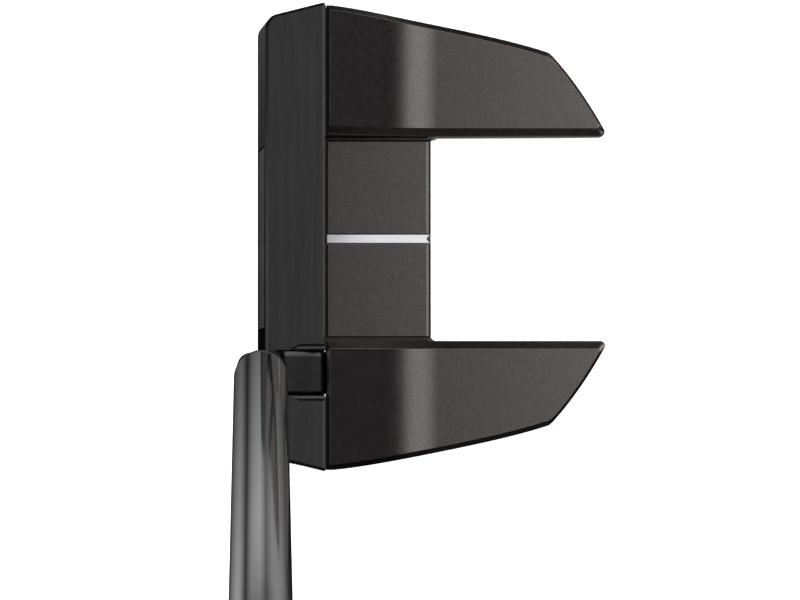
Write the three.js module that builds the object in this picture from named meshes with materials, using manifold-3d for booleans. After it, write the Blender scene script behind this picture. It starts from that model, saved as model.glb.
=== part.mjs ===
// Mallet putter: a steel front block with a face insert and a curved neck, a
// U-shaped aluminium rear frame with two prongs, an inlaid centre deck with a
// white sight line, a sole plate, two prong weights, an over-hosel shaft and a
// pistol grip. Right-handed: the face looks along -Y, the toe is at -X and the
// heel and the player are at +X. Millimetres, +Z up, ground plane at z = 0,
// origin on the flat of the sole plate, under the sight line.

import * as THREE from 'three';
import { mergeVertices } from 'three/addons/utils/BufferGeometryUtils.js';
import Module from 'manifold-3d';

const wasm = await Module();
wasm.setup();

// ---------------------------------------------------------------- dimensions
const GAP = 0.3;                    // clearance between neighbouring pieces
const LEAD_Y = -18.0;               // leading edge of the face
const LOFT = THREE.MathUtils.degToRad(3.5);
const TOP_Z = 25.0;                 // top line of the front block
const BODY_BOTTOM = 0.5;            // sole of the front block, clear of the ground
const BODY_REAR = -4.22;            // rear wall of the front block
const HALF_W = 48.2;                // half of the head width, heel to toe
const CORNER_R = 3.0;               // toe and heel front corners in plan

const FRAME_FRONT = -3.9;           // front face of the rear frame
const FRAME_TOP_FRONT = 21.55;      // prong top where it meets the front block
const SLOPE = 0.387;                // fall of the prong top, mm per mm
const PRONG_TOP = 14.9;             // level part of the prong top
const SLOPE_R = 32.0;               // blend radius between slope and level part
const PRONG_IN = 21.3;              // inner wall of each prong, from the centre
const BRIDGE_REAR = 18.0;           // rear edge of the bridge between the prongs
const BRIDGE_TOP = 9.9;             // seat of the centre deck
const BRIDGE_BOTTOM = 5.5;
const LEDGE_Z = 12.2;               // narrow ledge beside the centre deck
const RECESS_HALF = 20.6;           // half width of the deck recess

const DECK_HALF = 20.3;
const DECK_FRONT = -3.3;
const DECK_TOP = 12.5;
const DECK_BOTTOM = 10.2;
const LINE_W = 1.7;                 // sight line width
const LINE_D = 0.9;                 // sight line depth in the deck

const SOLE_HALF = 20.0;
const SOLE_FRONT = -14.5;
const SOLE_REAR = 17.0;
const SOLE_T = 2.0;
const TONGUE_Z0 = 2.3;
const TONGUE_Z1 = 5.2;
const TONGUE_REAR = 15.0;

const INSERT_HALF = 18.6;
const INSERT_Z0 = 2.6;
const INSERT_Z1 = 21.0;
const INSERT_T = 4.6;

const WEIGHT_X = 29.5;
const WEIGHT_Y = 38.5;
const WEIGHT_R = 5.5;

const NECK_X = 28.05;               // neck centre, from the sight line
const NECK_HW = 4.35;               // half width of the neck foot
const SLOT_FRONT = -14.5;
const SLOT_FLOOR = 8.0;

const LIE = THREE.MathUtils.degToRad(70.0);
const AXIS_X0 = 0.9;                // shaft axis where it meets the ground
const AXIS_Y = -17.5;
const TIP_S = 83.0;                 // lower end of the shaft, along the axis
const BUTT_S = 886.4;
const CLUB_S = 889.0;               // full length along the axis (35 in)
const TIP_R = 5.2;
const POST_R = 4.1;
const POST_LEN = 30.0;
const GRIP_S0 = 622.0;
const GRIP_S1 = 886.9;

// ------------------------------------------------------------------- helpers
function solid(geometry) {
  geometry.deleteAttribute('normal');
  geometry.deleteAttribute('uv');
  const g = mergeVertices(geometry, 1e-4);
  const make = (tri) => new wasm.Manifold(new wasm.Mesh({
    numProp: 3,
    vertProperties: new Float32Array(g.attributes.position.array),
    triVerts: tri,
  }));
  const tri = new Uint32Array(g.index.array);
  let m = make(tri);
  if (m.volume() < 0) {
    for (let i = 0; i < tri.length; i += 3) [tri[i], tri[i + 1]] = [tri[i + 1], tri[i]];
    m = make(tri);
  }
  return m;
}

function outline(points) {
  const s = new THREE.Shape();
  points.forEach(([a, b], i) => (i ? s.lineTo(a, b) : s.moveTo(a, b)));
  s.closePath();
  return s;
}

function extrude(points, depth) {
  return new THREE.ExtrudeGeometry(outline(points), { depth, bevelEnabled: false, steps: 1 });
}

// plan outline [x, y] raised from z0 to z1
function prismZ(points, z0, z1) {
  return solid(extrude(points, z1 - z0).translate(0, 0, z0));
}

// side outline [y, z] from x0 to x1
function prismX(points, x0, x1) {
  const g = extrude(points, x1 - x0);
  g.applyMatrix4(new THREE.Matrix4().set(0, 0, 1, x0, 1, 0, 0, 0, 0, 1, 0, 0, 0, 0, 0, 1));
  return solid(g);
}

function box(x0, x1, y0, y1, z0, z1) {
  const g = new THREE.BoxGeometry(x1 - x0, y1 - y0, z1 - z0);
  return solid(g.translate((x0 + x1) / 2, (y0 + y1) / 2, (z0 + z1) / 2));
}

// profile [r, z] turned about the Z axis
function turned(profile, segments = 32) {
  const g = new THREE.LatheGeometry(profile.map(([r, z]) => new THREE.Vector2(r, z)), segments);
  return solid(g.rotateX(Math.PI / 2));
}

function rod(r, z0, z1, segments = 32) {
  return turned([[0, z0], [r, z0], [r, z1], [0, z1]], segments);
}

function at(m, x, y, z) {
  return m.translate([x, y, z]);
}

function plus(...list) {
  return list.reduce((a, b) => a.add(b));
}

function minus(first, ...list) {
  return list.reduce((a, b) => a.subtract(b), first);
}

// a rod-like body whose section changes from station to station
function lofted(sides, count, place) {
  const ring = [];
  for (let i = 0; i < sides; i += 1) {
    const a = (i / sides) * Math.PI * 2;
    ring.push([Math.cos(a), Math.sin(a)]);
  }
  const g = new THREE.ExtrudeGeometry(outline(ring), {
    depth: count - 1, steps: count - 1, bevelEnabled: false,
  });
  const p = g.attributes.position;
  for (let i = 0; i < p.count; i += 1) {
    const a = Math.atan2(p.getY(i), p.getX(i));
    const v = place(a, Math.round(p.getZ(i)));
    p.setXYZ(i, v[0], v[1], v[2]);
  }
  return solid(g);
}

function power(v, e) {
  return Math.sign(v) * Math.abs(v) ** e;
}

const group = new THREE.Group();
group.name = 'mallet_putter';

function piece(name, m, colour, roughness, metalness, parent = group) {
  const mesh = m.getMesh();
  const g = new THREE.BufferGeometry();
  g.setAttribute('position', new THREE.BufferAttribute(new Float32Array(mesh.vertProperties), 3));
  g.setIndex(new THREE.BufferAttribute(new Uint32Array(mesh.triVerts), 1));
  g.computeVertexNormals();
  const out = new THREE.Mesh(g, new THREE.MeshStandardMaterial({ color: colour, roughness, metalness }));
  out.name = name;
  parent.add(out);
  return out;
}

// ------------------------------------------------------------- plan outlines
// Front block at its top: a straight face edge, rounded front corners, sides
// that widen towards the rear, and small rear corners.
function frontOutline() {
  const faceY = LEAD_Y + TOP_Z * Math.tan(LOFT);
  const widen = THREE.MathUtils.degToRad(14.3);
  const cx = (47.941 - CORNER_R + 0.2465 * (faceY + CORNER_R)) / 0.969;
  const cy = faceY + CORNER_R;
  const half = [];
  for (let i = 0; i <= 6; i += 1) {
    const a = -Math.PI / 2 + (i / 6) * (Math.PI / 2 - widen);
    half.push([cx + CORNER_R * Math.cos(a), cy + CORNER_R * Math.sin(a)]);
  }
  half.push([HALF_W, -5.0]);
  half.push([HALF_W + 0.05, -4.6]);
  half.push([HALF_W - 0.25, BODY_REAR]);
  const left = half.map(([x, y]) => [-x, y]).reverse();
  return [...half, ...left];
}

// One prong and half of the bridge, from the front face round the outside to
// the rear tip and back along the inner wall.
const PRONG_OUTER = [
  [48.2, -3.9], [48.14, -2.75], [47.95, -0.5], [47.45, 3.08], [46.78, 7.27],
  [46.03, 11.47], [45.26, 15.65], [44.47, 19.81], [43.16, 26.04], [42.24, 30.2],
  [41.25, 34.36], [40.15, 38.52], [39.35, 41.3], [38.9, 42.35], [38.1, 43.25],
  [36.58, 44.76], [34.01, 46.84], [31.19, 48.92], [28.1, 51.0], [24.65, 53.08],
  [23.25, 53.95],
];
const PRONG_TIP = [
  [22.75, 54.1], [22.2, 54.0], [21.75, 53.6], [21.42, 53.0], [PRONG_IN, 52.2],
];

function frameOutline() {
  const inner = [[PRONG_IN, BRIDGE_REAR + 1.1], [PRONG_IN - 0.35, BRIDGE_REAR + 0.35],
    [PRONG_IN - 1.1, BRIDGE_REAR]];
  const right = [...PRONG_OUTER, ...PRONG_TIP, ...inner];
  const left = right.map(([x, y]) => [-x, y]).reverse();
  return [...right, ...left];
}

// height of the prong top at a given distance back
function prongTop(y) {
  const bend = FRAME_FRONT + (FRAME_TOP_FRONT - PRONG_TOP) / SLOPE;
  const half = SLOPE_R * Math.tan(Math.atan(SLOPE) / 2);
  const end = bend + half;
  const start = bend - half * Math.cos(Math.atan(SLOPE));
  if (y >= end) return PRONG_TOP;
  if (y <= start) return FRAME_TOP_FRONT - SLOPE * (y - FRAME_FRONT);
  return PRONG_TOP + SLOPE_R - Math.sqrt(SLOPE_R ** 2 - (end - y) ** 2);
}

// underside of the frame: level at the front, rising towards the prong tips
function prongBottom(y) {
  if (y < 8) return 1.0;
  const t = (y - 8) / 46.5;
  return 1.0 + 3.6 * t * t;
}

// ---------------------------------------------------------------- the screws
// flat-headed socket screw standing head down: underside of the head at z = 0
function flatScrew(r, headR, length, headH, socketR) {
  const body = turned([[0, 0], [headR, 0], [headR, 0.25], [r, headH], [r, length - 0.4],
    [r - 0.4, length], [0, length]], 20);
  return body.subtract(rod(socketR, -1, headH * 0.62, 6));
}

// ---------------------------------------------------------------- front block
const tilt = new THREE.Matrix4().makeTranslation(0, LEAD_Y, 0)
  .multiply(new THREE.Matrix4().makeRotationX(-LOFT));

function alongFace(m) {
  return m.rotate([-THREE.MathUtils.radToDeg(LOFT), 0, 0]).translate([0, LEAD_Y, 0]);
}

function frontBlock() {
  const pts = frontOutline();
  const g = extrude(pts, TOP_Z - BODY_BOTTOM).translate(0, 0, BODY_BOTTOM);
  const p = g.attributes.position;
  for (let i = 0; i < p.count; i += 1) {
    if (p.getY(i) < -11) p.setY(i, p.getY(i) - (TOP_Z - p.getZ(i)) * Math.tan(LOFT));
  }
  let m = solid(g);
  // tongue that carries the rear frame
  m = m.add(box(-19.6, 19.6, BODY_REAR - 1, TONGUE_REAR, TONGUE_Z0, TONGUE_Z1));
  // seat of the sole plate
  m = m.subtract(box(-SOLE_HALF - GAP, SOLE_HALF + GAP, SOLE_FRONT - GAP, 30, -5, TONGUE_Z0));
  // face pocket
  m = m.subtract(alongFace(box(-INSERT_HALF - GAP, INSERT_HALF + GAP, -3, INSERT_T + 1.1,
    INSERT_Z0 - GAP, INSERT_Z1 + GAP)));
  // slot and run-out of the neck, open to the rear
  m = m.subtract(box(NECK_X - NECK_HW - GAP, NECK_X + NECK_HW + GAP, SLOT_FRONT, 2,
    SLOT_FLOOR, TOP_Z + 5));
  m = m.subtract(prismX([[-11.4, TOP_Z + 0.01], [BODY_REAR + 1, 21.7], [BODY_REAR + 1, 30], [-11.4, 30]],
    NECK_X - NECK_HW - 0.75, NECK_X + NECK_HW + 0.75));
  // screws through the tongue into the rear frame
  for (const [x, y] of FRAME_SCREWS) {
    m = m.subtract(at(rod(1.8, -1, 10, 20), x, y, 0));
    m = m.subtract(at(turned([[0, -1], [3.1, -1], [3.1, 2.9], [1.8, 4.4], [0, 4.4]], 20), x, y, 0));
  }
  // threaded holes of the sole plate screws
  for (const [x, y] of SOLE_SCREWS) m = m.subtract(at(rod(1.55, -1, y < -4 ? 7.4 : 10, 20), x, y, 0));
  // hole and countersink of the neck screw
  m = m.subtract(at(rod(2.35, -1, SLOT_FLOOR + 1, 20), NECK_X, NECK_SCREW_Y, 0));
  m = m.subtract(at(turned([[0, -1], [4.3, -1], [4.3, 1.7], [2.35, 4.0], [0, 4.0]], 20),
    NECK_X, NECK_SCREW_Y, 0));
  return m;
}

const FRAME_SCREWS = [[-11, 2.0], [11, 2.0], [-11, 12.0], [11, 12.0]];
const SOLE_SCREWS = [[-16.5, -11.0], [16.5, -11.0], [-16.5, 7.0], [16.5, 7.0]];
const DECK_SCREWS = [[-5.5, 7.0], [5.5, 7.0]];
const NECK_SCREW_Y = -9.4;

piece('front_body', frontBlock(), 0x2b2b2c, 0.42, 0.9);

// face insert with a grooved hitting surface
function faceInsert() {
  const pts = [[INSERT_T, INSERT_Z0], [INSERT_T, INSERT_Z1], [0, INSERT_Z1]];
  const pitch = 1.55;
  for (let k = 10; k >= 0; k -= 1) {
    const z = INSERT_Z0 + 1.1 + k * pitch;
    if (z + 0.6 > INSERT_Z1 - 0.8) continue;
    pts.push([0, z + 0.62], [0.35, z + 0.5], [0.35, z + 0.12], [0, z]);
  }
  pts.push([0, INSERT_Z0]);
  let m = prismX(pts, -INSERT_HALF, INSERT_HALF);
  const corner = (sx, z, dz) => prismX([[-2, z], [INSERT_T + 2, z], [INSERT_T + 2, z + dz], [-2, z + dz]],
    sx < 0 ? -INSERT_HALF - 1 : INSERT_HALF - 1.2, sx < 0 ? -INSERT_HALF + 1.2 : INSERT_HALF + 1);
  m = minus(m, corner(-1, INSERT_Z1 - 1.2, 3), corner(1, INSERT_Z1 - 1.2, 3),
    corner(-1, INSERT_Z0 - 2, 3.2), corner(1, INSERT_Z0 - 2, 3.2));
  return alongFace(m);
}
piece('face_insert', faceInsert(), 0x34363a, 0.6, 0.0);

// bond film behind the insert
piece('insert_bond', alongFace(box(-INSERT_HALF + 1, INSERT_HALF - 1, INSERT_T + 0.35, INSERT_T + 0.75,
  INSERT_Z0 + 1, INSERT_Z1 - 1)), 0xb9b3a0, 0.8, 0.0);

// ----------------------------------------------------------------- rear frame
function rearFrame() {
  const plan = prismZ(frameOutline(), 0, 30);
  const stations = [];
  for (let y = FRAME_FRONT - 1; y < 7; y += 11) stations.push(y);
  for (let y = 7; y <= 20.5; y += 1.5) stations.push(y);
  stations.push(30, 60);
  const top = stations.map((y) => [y, prongTop(y)]);
  const under = [];
  for (let y = 60; y > 8; y -= 6.5) under.push([y, prongBottom(y)]);
  under.push([8, 1.0], [FRAME_FRONT - 1, 1.0]);
  let m = plan.intersect(prismX([...top, ...under], -60, 60));
  // bridge seat, deck recess and the narrow ledges beside it
  m = m.subtract(box(-PRONG_IN, PRONG_IN, -10, BRIDGE_REAR + 1.2, LEDGE_Z, 40));
  m = m.subtract(box(-RECESS_HALF, RECESS_HALF, -10, BRIDGE_REAR + 5, BRIDGE_TOP, 40));
  // underside of the bridge, over the tongue and the sole plate
  m = m.subtract(box(-SOLE_HALF - GAP, SOLE_HALF + GAP, -10, BRIDGE_REAR + 1, -5, TONGUE_Z0));
  m = m.subtract(box(-19.9, 19.9, -10, TONGUE_REAR + GAP, -5, BRIDGE_BOTTOM));
  for (const [x, y] of FRAME_SCREWS) m = m.subtract(at(rod(1.8, 0, 9.0, 20), x, y, 0));
  for (const [x, y] of DECK_SCREWS) {
    m = m.subtract(at(rod(2.9, 0, 20, 20), x, y, 0));
  }
  // weight bores in the prongs, open to the sole
  for (const s of [-1, 1]) m = m.subtract(at(rod(WEIGHT_R + GAP, -5, 12.5, 32), s * WEIGHT_X, WEIGHT_Y, 0));
  return m;
}
piece('rear_frame', rearFrame(), 0x4a4744, 0.38, 0.85);

// -------------------------------------------------- centre deck, sight line
function centerDeck() {
  let m = box(-DECK_HALF, DECK_HALF, DECK_FRONT, BRIDGE_REAR, DECK_BOTTOM, DECK_TOP);
  m = m.subtract(box(-LINE_W / 2 - GAP, LINE_W / 2 + GAP, DECK_FRONT - 1, BRIDGE_REAR + 1,
    DECK_TOP - LINE_D - GAP, DECK_TOP + 1));
  for (const [x, y] of DECK_SCREWS) {
    m = m.add(at(rod(2.5, 7.6, DECK_BOTTOM + 0.5, 20), x, y, 0));
    m = m.subtract(at(rod(1.55, 0, 11.0, 16), x, y, 0));
  }
  return m;
}
piece('center_deck', centerDeck(), 0x504d4a, 0.4, 0.85);
piece('sight_line', box(-LINE_W / 2, LINE_W / 2, DECK_FRONT, BRIDGE_REAR - 0.3,
  DECK_TOP - LINE_D, DECK_TOP - 0.05), 0xe4e3e6, 0.5, 0.0);

// ------------------------------------------------------------------ sole plate
function solePlate() {
  const c = 1.2;
  let m = prismZ([[-SOLE_HALF + c, SOLE_FRONT], [SOLE_HALF - c, SOLE_FRONT], [SOLE_HALF, SOLE_FRONT + c],
    [SOLE_HALF, SOLE_REAR - c], [SOLE_HALF - c, SOLE_REAR], [-SOLE_HALF + c, SOLE_REAR],
    [-SOLE_HALF, SOLE_REAR - c], [-SOLE_HALF, SOLE_FRONT + c]], 0, SOLE_T);
  for (const [x, y] of SOLE_SCREWS) {
    m = m.subtract(at(turned([[0, -1], [3.3, -1], [3.3, 0.55], [1.8, 1.7], [1.8, 4], [0, 4]], 20), x, y, 0));
  }
  return m;
}
piece('sole_plate', solePlate(), 0x3a3a3b, 0.4, 0.9);

// -------------------------------------------------------------------- screws
FRAME_SCREWS.forEach(([x, y], i) => piece(`frame_screw_${i + 1}`,
  at(flatScrew(1.5, 2.8, 6.3, 1.3, 1.2), x, y, 2.4), 0x1c1c1d, 0.35, 0.9));
SOLE_SCREWS.forEach(([x, y], i) => piece(`sole_screw_${i + 1}`,
  at(flatScrew(1.25, 2.7, 4.8, 1.2, 1.1), x, y, 0.15), 0x1c1c1d, 0.35, 0.9));
DECK_SCREWS.forEach(([x, y], i) => piece(`deck_screw_${i + 1}`,
  at(flatScrew(1.25, 2.4, 5.0, 1.2, 1.0), x, y, 5.75), 0x1c1c1d, 0.35, 0.9));
piece('neck_screw', at(flatScrew(2.0, 4.0, 15.2, 2.3, 1.7), NECK_X, NECK_SCREW_Y, 0.7), 0x1c1c1d, 0.35, 0.9);

// -------------------------------------------------------------- prong weights
function prongWeight() {
  const m = turned([[0, 4.0], [WEIGHT_R - 0.4, 4.0], [WEIGHT_R, 4.4], [WEIGHT_R, 11.0], [0, 11.0]], 32);
  return m.subtract(rod(2.4, 0, 7.4, 6));
}
for (const [name, s] of [['toe', -1], ['heel', 1]]) {
  piece(`${name}_weight`, at(prongWeight(), s * WEIGHT_X, WEIGHT_Y, 0), 0x6d6a66, 0.35, 0.95);
  piece(`${name}_weight_washer`, at(turned([[3, 11.3], [5.3, 11.3], [5.3, 12.15], [3, 12.15], [3, 11.3]], 32),
    s * WEIGHT_X, WEIGHT_Y, 0), 0x141414, 0.85, 0.0);
}

// ------------------------------------------------------- shaft line placement
const axis = new THREE.Vector3(Math.cos(LIE), 0, Math.sin(LIE));
const across = new THREE.Vector3(Math.sin(LIE), 0, -Math.cos(LIE));
// local x = across (towards the player), local y = +Y, local z = up the shaft
function onShaft(m) {
  return m.rotate([0, 90 - THREE.MathUtils.radToDeg(LIE), 0]).translate([AXIS_X0, AXIS_Y, 0]);
}

// ----------------------------------------------------------------------- neck
// [z, rear y, front y, toe x, heel x, squareness]
const NECK = [
  [8.3, -4.55, -14.2, 23.7, 32.4, 9],
  [15, -4.55, -14.2, 23.7, 32.4, 9],
  [22.0, -4.55, -14.2, 23.7, 32.4, 9],
  [22.7, -5.6, -14.2, 23.7, 32.4, 8],
  [23.5, -7.5, -14.2, 23.7, 32.4, 8],
  [24.3, -9.3, -14.2, 23.7, 32.4, 7],
  [25.3, -10.8, -14.2, 23.7, 32.4, 6],
  [25.6, -11.1, -15.4, 23.72, 32.42, 6],
  [26.2, -11.5, -16.6, 23.75, 32.45, 5.5],
  [28, -12.1, -18.0, 23.8, 32.5, 5],
  [32, -12.5, -19.8, 23.9, 32.6, 4.5],
  [38, -12.65, -21.3, 24.0, 32.8, 4],
  [46, -12.7, -22.1, 24.2, 33.1, 3.6],
  [56, -12.7, -22.35, 24.4, 33.4, 3.0],
  [67, -12.7, -22.35, 24.55, 33.75, 2.5],
];

function neck() {
  const topS = TIP_S - GAP;
  const c = new THREE.Vector3(AXIS_X0, AXIS_Y, 0).addScaledVector(axis, topS);
  const r = 4.95;
  const m = lofted(32, NECK.length + 1, (a, j) => {
    if (j === NECK.length) {
      const u = Math.cos(a) * r;
      return [c.x + across.x * u, c.y + Math.sin(a) * r, c.z + across.z * u];
    }
    const [z, yr, yf, xt, xh, q] = NECK[j];
    const e = 2 / q;
    return [(xt + xh) / 2 + ((xh - xt) / 2) * power(Math.cos(a), e),
      (yr + yf) / 2 + ((yr - yf) / 2) * power(Math.sin(a), e), z];
  });
  const post = onShaft(turned([[0, topS - 3], [POST_R, topS - 3], [POST_R, topS + POST_LEN - 1],
    [POST_R - 1, topS + POST_LEN], [0, topS + POST_LEN]], 32));
  return m.add(post).subtract(at(rod(1.75 + 0.6, 0, 16.6, 20), NECK_X, NECK_SCREW_Y, 0));
}
piece('hosel_neck', neck(), 0x262627, 0.4, 0.9);

// ---------------------------------------------------------------------- shaft
const SHAFT = [[TIP_S, TIP_R], [383, 5.82], [640, 7.0], [BUTT_S, 7.5]];
function shaftRadius(s) {
  for (let i = 1; i < SHAFT.length; i += 1) {
    const [s0, r0] = SHAFT[i - 1];
    const [s1, r1] = SHAFT[i];
    if (s <= s1) return r0 + ((r1 - r0) * (s - s0)) / (s1 - s0);
  }
  return SHAFT[SHAFT.length - 1][1];
}
const wall = 0.75;
piece('shaft', onShaft(turned([
  [TIP_R - wall, TIP_S], [TIP_R - 0.35, TIP_S], [TIP_R, TIP_S + 0.35],
  ...SHAFT.slice(1).map(([s, r]) => [r, s]),
  ...SHAFT.slice(1).reverse().map(([s, r]) => [r - wall, s]),
  [TIP_R - wall, TIP_S]], 40)), 0x4b4b4d, 0.2, 1.0);

// ----------------------------------------------------------------- grip parts
const tape0 = GRIP_S0 + 4;
const tape1 = BUTT_S - 4;
piece('grip_tape', onShaft(turned([
  [shaftRadius(tape0) + 0.3, tape0], [shaftRadius(tape0) + 0.65, tape0],
  [shaftRadius(640) + 0.65, 640], [shaftRadius(tape1) + 0.65, tape1],
  [shaftRadius(tape1) + 0.3, tape1], [shaftRadius(640) + 0.3, 640],
  [shaftRadius(tape0) + 0.3, tape0]], 32)), 0xcfc8b4, 0.9, 0.0);

// [s, half width, front (flat side), rear swell]
const GRIP = [
  [GRIP_S0, 9.0, 8.6, 9.0], [GRIP_S0 + 1.5, 9.6, 9.0, 9.6], [640, 10.2, 9.2, 10.3],
  [670, 10.9, 9.4, 11.2], [710, 11.7, 9.7, 12.2], [750, 12.4, 10.0, 13.0],
  [790, 12.9, 10.2, 14.2], [820, 13.2, 10.4, 15.8], [845, 13.4, 10.5, 17.6],
  [865, 13.6, 10.6, 18.6], [880, 13.7, 10.7, 18.3], [GRIP_S1 - 0.8, 13.6, 10.6, 17.6],
  [GRIP_S1, 12.9, 10.0, 16.8],
];
function grip() {
  const m = lofted(28, GRIP.length, (a, j) => {
    const [s, w, f, b] = GRIP[j];
    const cu = Math.cos(a);
    const u = cu < 0 ? -f * Math.abs(cu) ** 0.42 : b * cu ** 0.95;
    const v = w * power(Math.sin(a), cu < 0 ? 0.72 : 0.9);
    return [u, v, s];
  });
  const bore = turned([[0, GRIP_S0 - 5], [shaftRadius(GRIP_S0) + 1.0, GRIP_S0 - 5],
    [shaftRadius(640) + 1.0, 640], [shaftRadius(BUTT_S) + 1.0, BUTT_S], [shaftRadius(BUTT_S) + 1.0, 900],
    [0, 900]], 32);
  return onShaft(m.subtract(bore));
}
piece('grip', grip(), 0x1d1d1e, 0.85, 0.0);

// cap that closes the butt: a plug inside the shaft and a flange over the grip
function gripCap() {
  const [, w, f, b] = GRIP[GRIP.length - 1];
  const plate = lofted(28, 3, (a, j) => {
    const k = j === 2 ? 0.93 : 1;
    const cu = Math.cos(a);
    const u = cu < 0 ? -f * Math.abs(cu) ** 0.42 : b * cu ** 0.95;
    const v = w * power(Math.sin(a), cu < 0 ? 0.72 : 0.9);
    return [u * k, v * k, [GRIP_S1 + GAP, CLUB_S - 0.5, CLUB_S][j]];
  });
  const plug = turned([[0, BUTT_S - 14], [5.6, BUTT_S - 14], [6.3, BUTT_S - 13], [6.3, GRIP_S1 + 1],
    [0, GRIP_S1 + 1]], 28);
  return onShaft(plate.add(plug));
}
piece('grip_cap', gripCap(), 0x111112, 0.7, 0.0);

export default group;
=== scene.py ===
"""Looks of the mallet putter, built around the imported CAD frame. Metres, +Z up, row frame.
Lengths in the builders below are in millimetres and are scaled to metres when a mesh is finished."""

import math  # noqa: E402

import bmesh  # noqa: E402
import bpy  # noqa: E402
import numpy as np  # noqa: E402
from mathutils import Matrix, Vector  # noqa: E402


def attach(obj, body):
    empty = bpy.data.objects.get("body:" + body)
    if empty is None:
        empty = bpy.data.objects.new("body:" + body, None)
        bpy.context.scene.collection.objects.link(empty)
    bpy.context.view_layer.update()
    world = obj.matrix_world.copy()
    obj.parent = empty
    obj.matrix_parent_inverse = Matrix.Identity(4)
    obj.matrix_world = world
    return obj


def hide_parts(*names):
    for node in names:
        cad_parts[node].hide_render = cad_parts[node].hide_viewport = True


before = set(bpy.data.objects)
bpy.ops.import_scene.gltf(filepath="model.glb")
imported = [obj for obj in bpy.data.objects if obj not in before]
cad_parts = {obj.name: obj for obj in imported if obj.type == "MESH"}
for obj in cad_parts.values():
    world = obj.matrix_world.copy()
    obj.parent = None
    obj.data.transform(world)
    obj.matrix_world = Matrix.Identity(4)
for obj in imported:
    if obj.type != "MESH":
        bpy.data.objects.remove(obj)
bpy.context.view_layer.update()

MM = 0.001
SCENE = bpy.context.scene

# ------------------------------------------------------------------ dimensions
GAP = 0.3
LEAD_Y = -18.0
LOFT = math.radians(3.5)
TOP_Z = 25.0
BODY_BOTTOM = 0.5
BODY_REAR = -4.22
FRAME_FRONT = -3.9
FRAME_TOP_FRONT = 21.55
SLOPE = 0.387
PRONG_TOP = 14.9
SLOPE_R = 32.0
PRONG_IN = 21.3
BRIDGE_REAR = 18.0
BRIDGE_TOP = 9.9
LEDGE_Z = 12.2
RECESS_HALF = 20.78
DECK_HALF = 20.54
DECK_FRONT = -3.66
DECK_TOP = 12.5
DECK_BOTTOM = 10.2
LINE_W = 1.7
LINE_D = 0.9
SOLE_HALF = 20.0
SOLE_FRONT = -14.5
SOLE_REAR = 17.0
SOLE_T = 2.0
TONGUE_Z0, TONGUE_Z1, TONGUE_REAR = 2.3, 5.2, 15.0
INSERT_HALF, INSERT_Z0, INSERT_Z1, INSERT_T = 18.6, 2.6, 21.0, 4.6
WEIGHT_X, WEIGHT_Y, WEIGHT_R = 29.5, 38.5, 5.5
NECK_X, NECK_HW = 28.05, 4.35
SLOT_FRONT, SLOT_FLOOR = -14.5, 8.0
NECK_SCREW_Y = -9.4
LIE = math.radians(70.0)
AXIS_X0, AXIS_Y = 0.9, -17.5
TIP_S, BUTT_S, CLUB_S = 83.0, 886.4, 889.0
TIP_R, POST_R, POST_LEN = 5.2, 4.1, 30.0
GRIP_S0, GRIP_S1 = 622.0, 886.9
FRAME_SCREWS = [(-11, 2.0), (11, 2.0), (-11, 12.0), (11, 12.0)]
SOLE_SCREWS = [(-16.5, -11.0), (16.5, -11.0), (-16.5, 7.0), (16.5, 7.0)]
DECK_SCREWS = [(-5.5, 7.0), (5.5, 7.0)]
FACE_Y = LEAD_Y + TOP_Z * math.tan(LOFT)


def prong_top(y):
    bend = FRAME_FRONT + (FRAME_TOP_FRONT - PRONG_TOP) / SLOPE
    half = SLOPE_R * math.tan(math.atan(SLOPE) / 2)
    end = bend + half
    start = bend - half * math.cos(math.atan(SLOPE))
    if y >= end:
        return PRONG_TOP
    if y <= start:
        return FRAME_TOP_FRONT - SLOPE * (y - FRAME_FRONT)
    return PRONG_TOP + SLOPE_R - math.sqrt(SLOPE_R**2 - (end - y) ** 2)


def prong_bottom(y):
    if y < 8:
        return 1.0
    t = (y - 8) / 46.5
    return 1.0 + 3.6 * t * t


# --------------------------------------------------------------- mesh builders
# An outline is a counter-clockwise list of elements:
#   ("P", x, y, w)                    a point on a straight or gently curved side
#   ("C", x, y, r, w_in, w_out, n)    a corner rounded to radius r in n steps
# w = (rim, chamfer, fall): width of the rounded rim, width of the chamfer, and
# the chamfer's drop per unit of width.
def direction(a, b):
    dx, dy = b[0] - a[0], b[1] - a[1]
    n = math.hypot(dx, dy)
    return dx / n, dy / n


def meet(p, d, q, e):
    den = d[0] * e[1] - d[1] * e[0]
    s = ((q[0] - p[0]) * e[1] - (q[1] - p[1]) * e[0]) / den
    return p[0] + s * d[0], p[1] + s * d[1]


def ring(elems, inset):
    out = []
    n = len(elems)
    for i, el in enumerate(elems):
        p, a, b = el[1:3], elems[i - 1][1:3], elems[(i + 1) % n][1:3]
        if el[0] == "P":
            tx, ty = direction(a, b)
            w = el[3]
            d = inset(w)
            out.append((p[0] - ty * d, p[1] + tx * d, w))
            continue
        r, wi, wo, steps = el[3:7]
        di, do = direction(a, p), direction(p, b)
        ni, no = (-di[1], di[0]), (-do[1], do[0])
        ii, io = inset(wi), inset(wo)
        m = meet((p[0] + ni[0] * ii, p[1] + ni[1] * ii), di, (p[0] + no[0] * io, p[1] + no[1] * io), do)
        cross = di[0] * do[1] - di[1] * do[0]
        turn = math.atan2(cross, di[0] * do[0] + di[1] * do[1])
        sign = 1 if cross > 0 else -1
        rr = max(r - sign * min(ii, io), 0.03)
        t = rr * math.tan(abs(turn) / 2)
        start = (m[0] - di[0] * t, m[1] - di[1] * t)
        c = (start[0] + sign * ni[0] * rr, start[1] + sign * ni[1] * rr)
        a0 = math.atan2(start[1] - c[1], start[0] - c[0])
        for k in range(steps + 1):
            f = k / steps
            ang = a0 + turn * f
            w = tuple(u * (1 - f) + v * f for u, v in zip(wi, wo))
            out.append((c[0] + rr * math.cos(ang), c[1] + rr * math.sin(ang), w))
    return out


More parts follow.
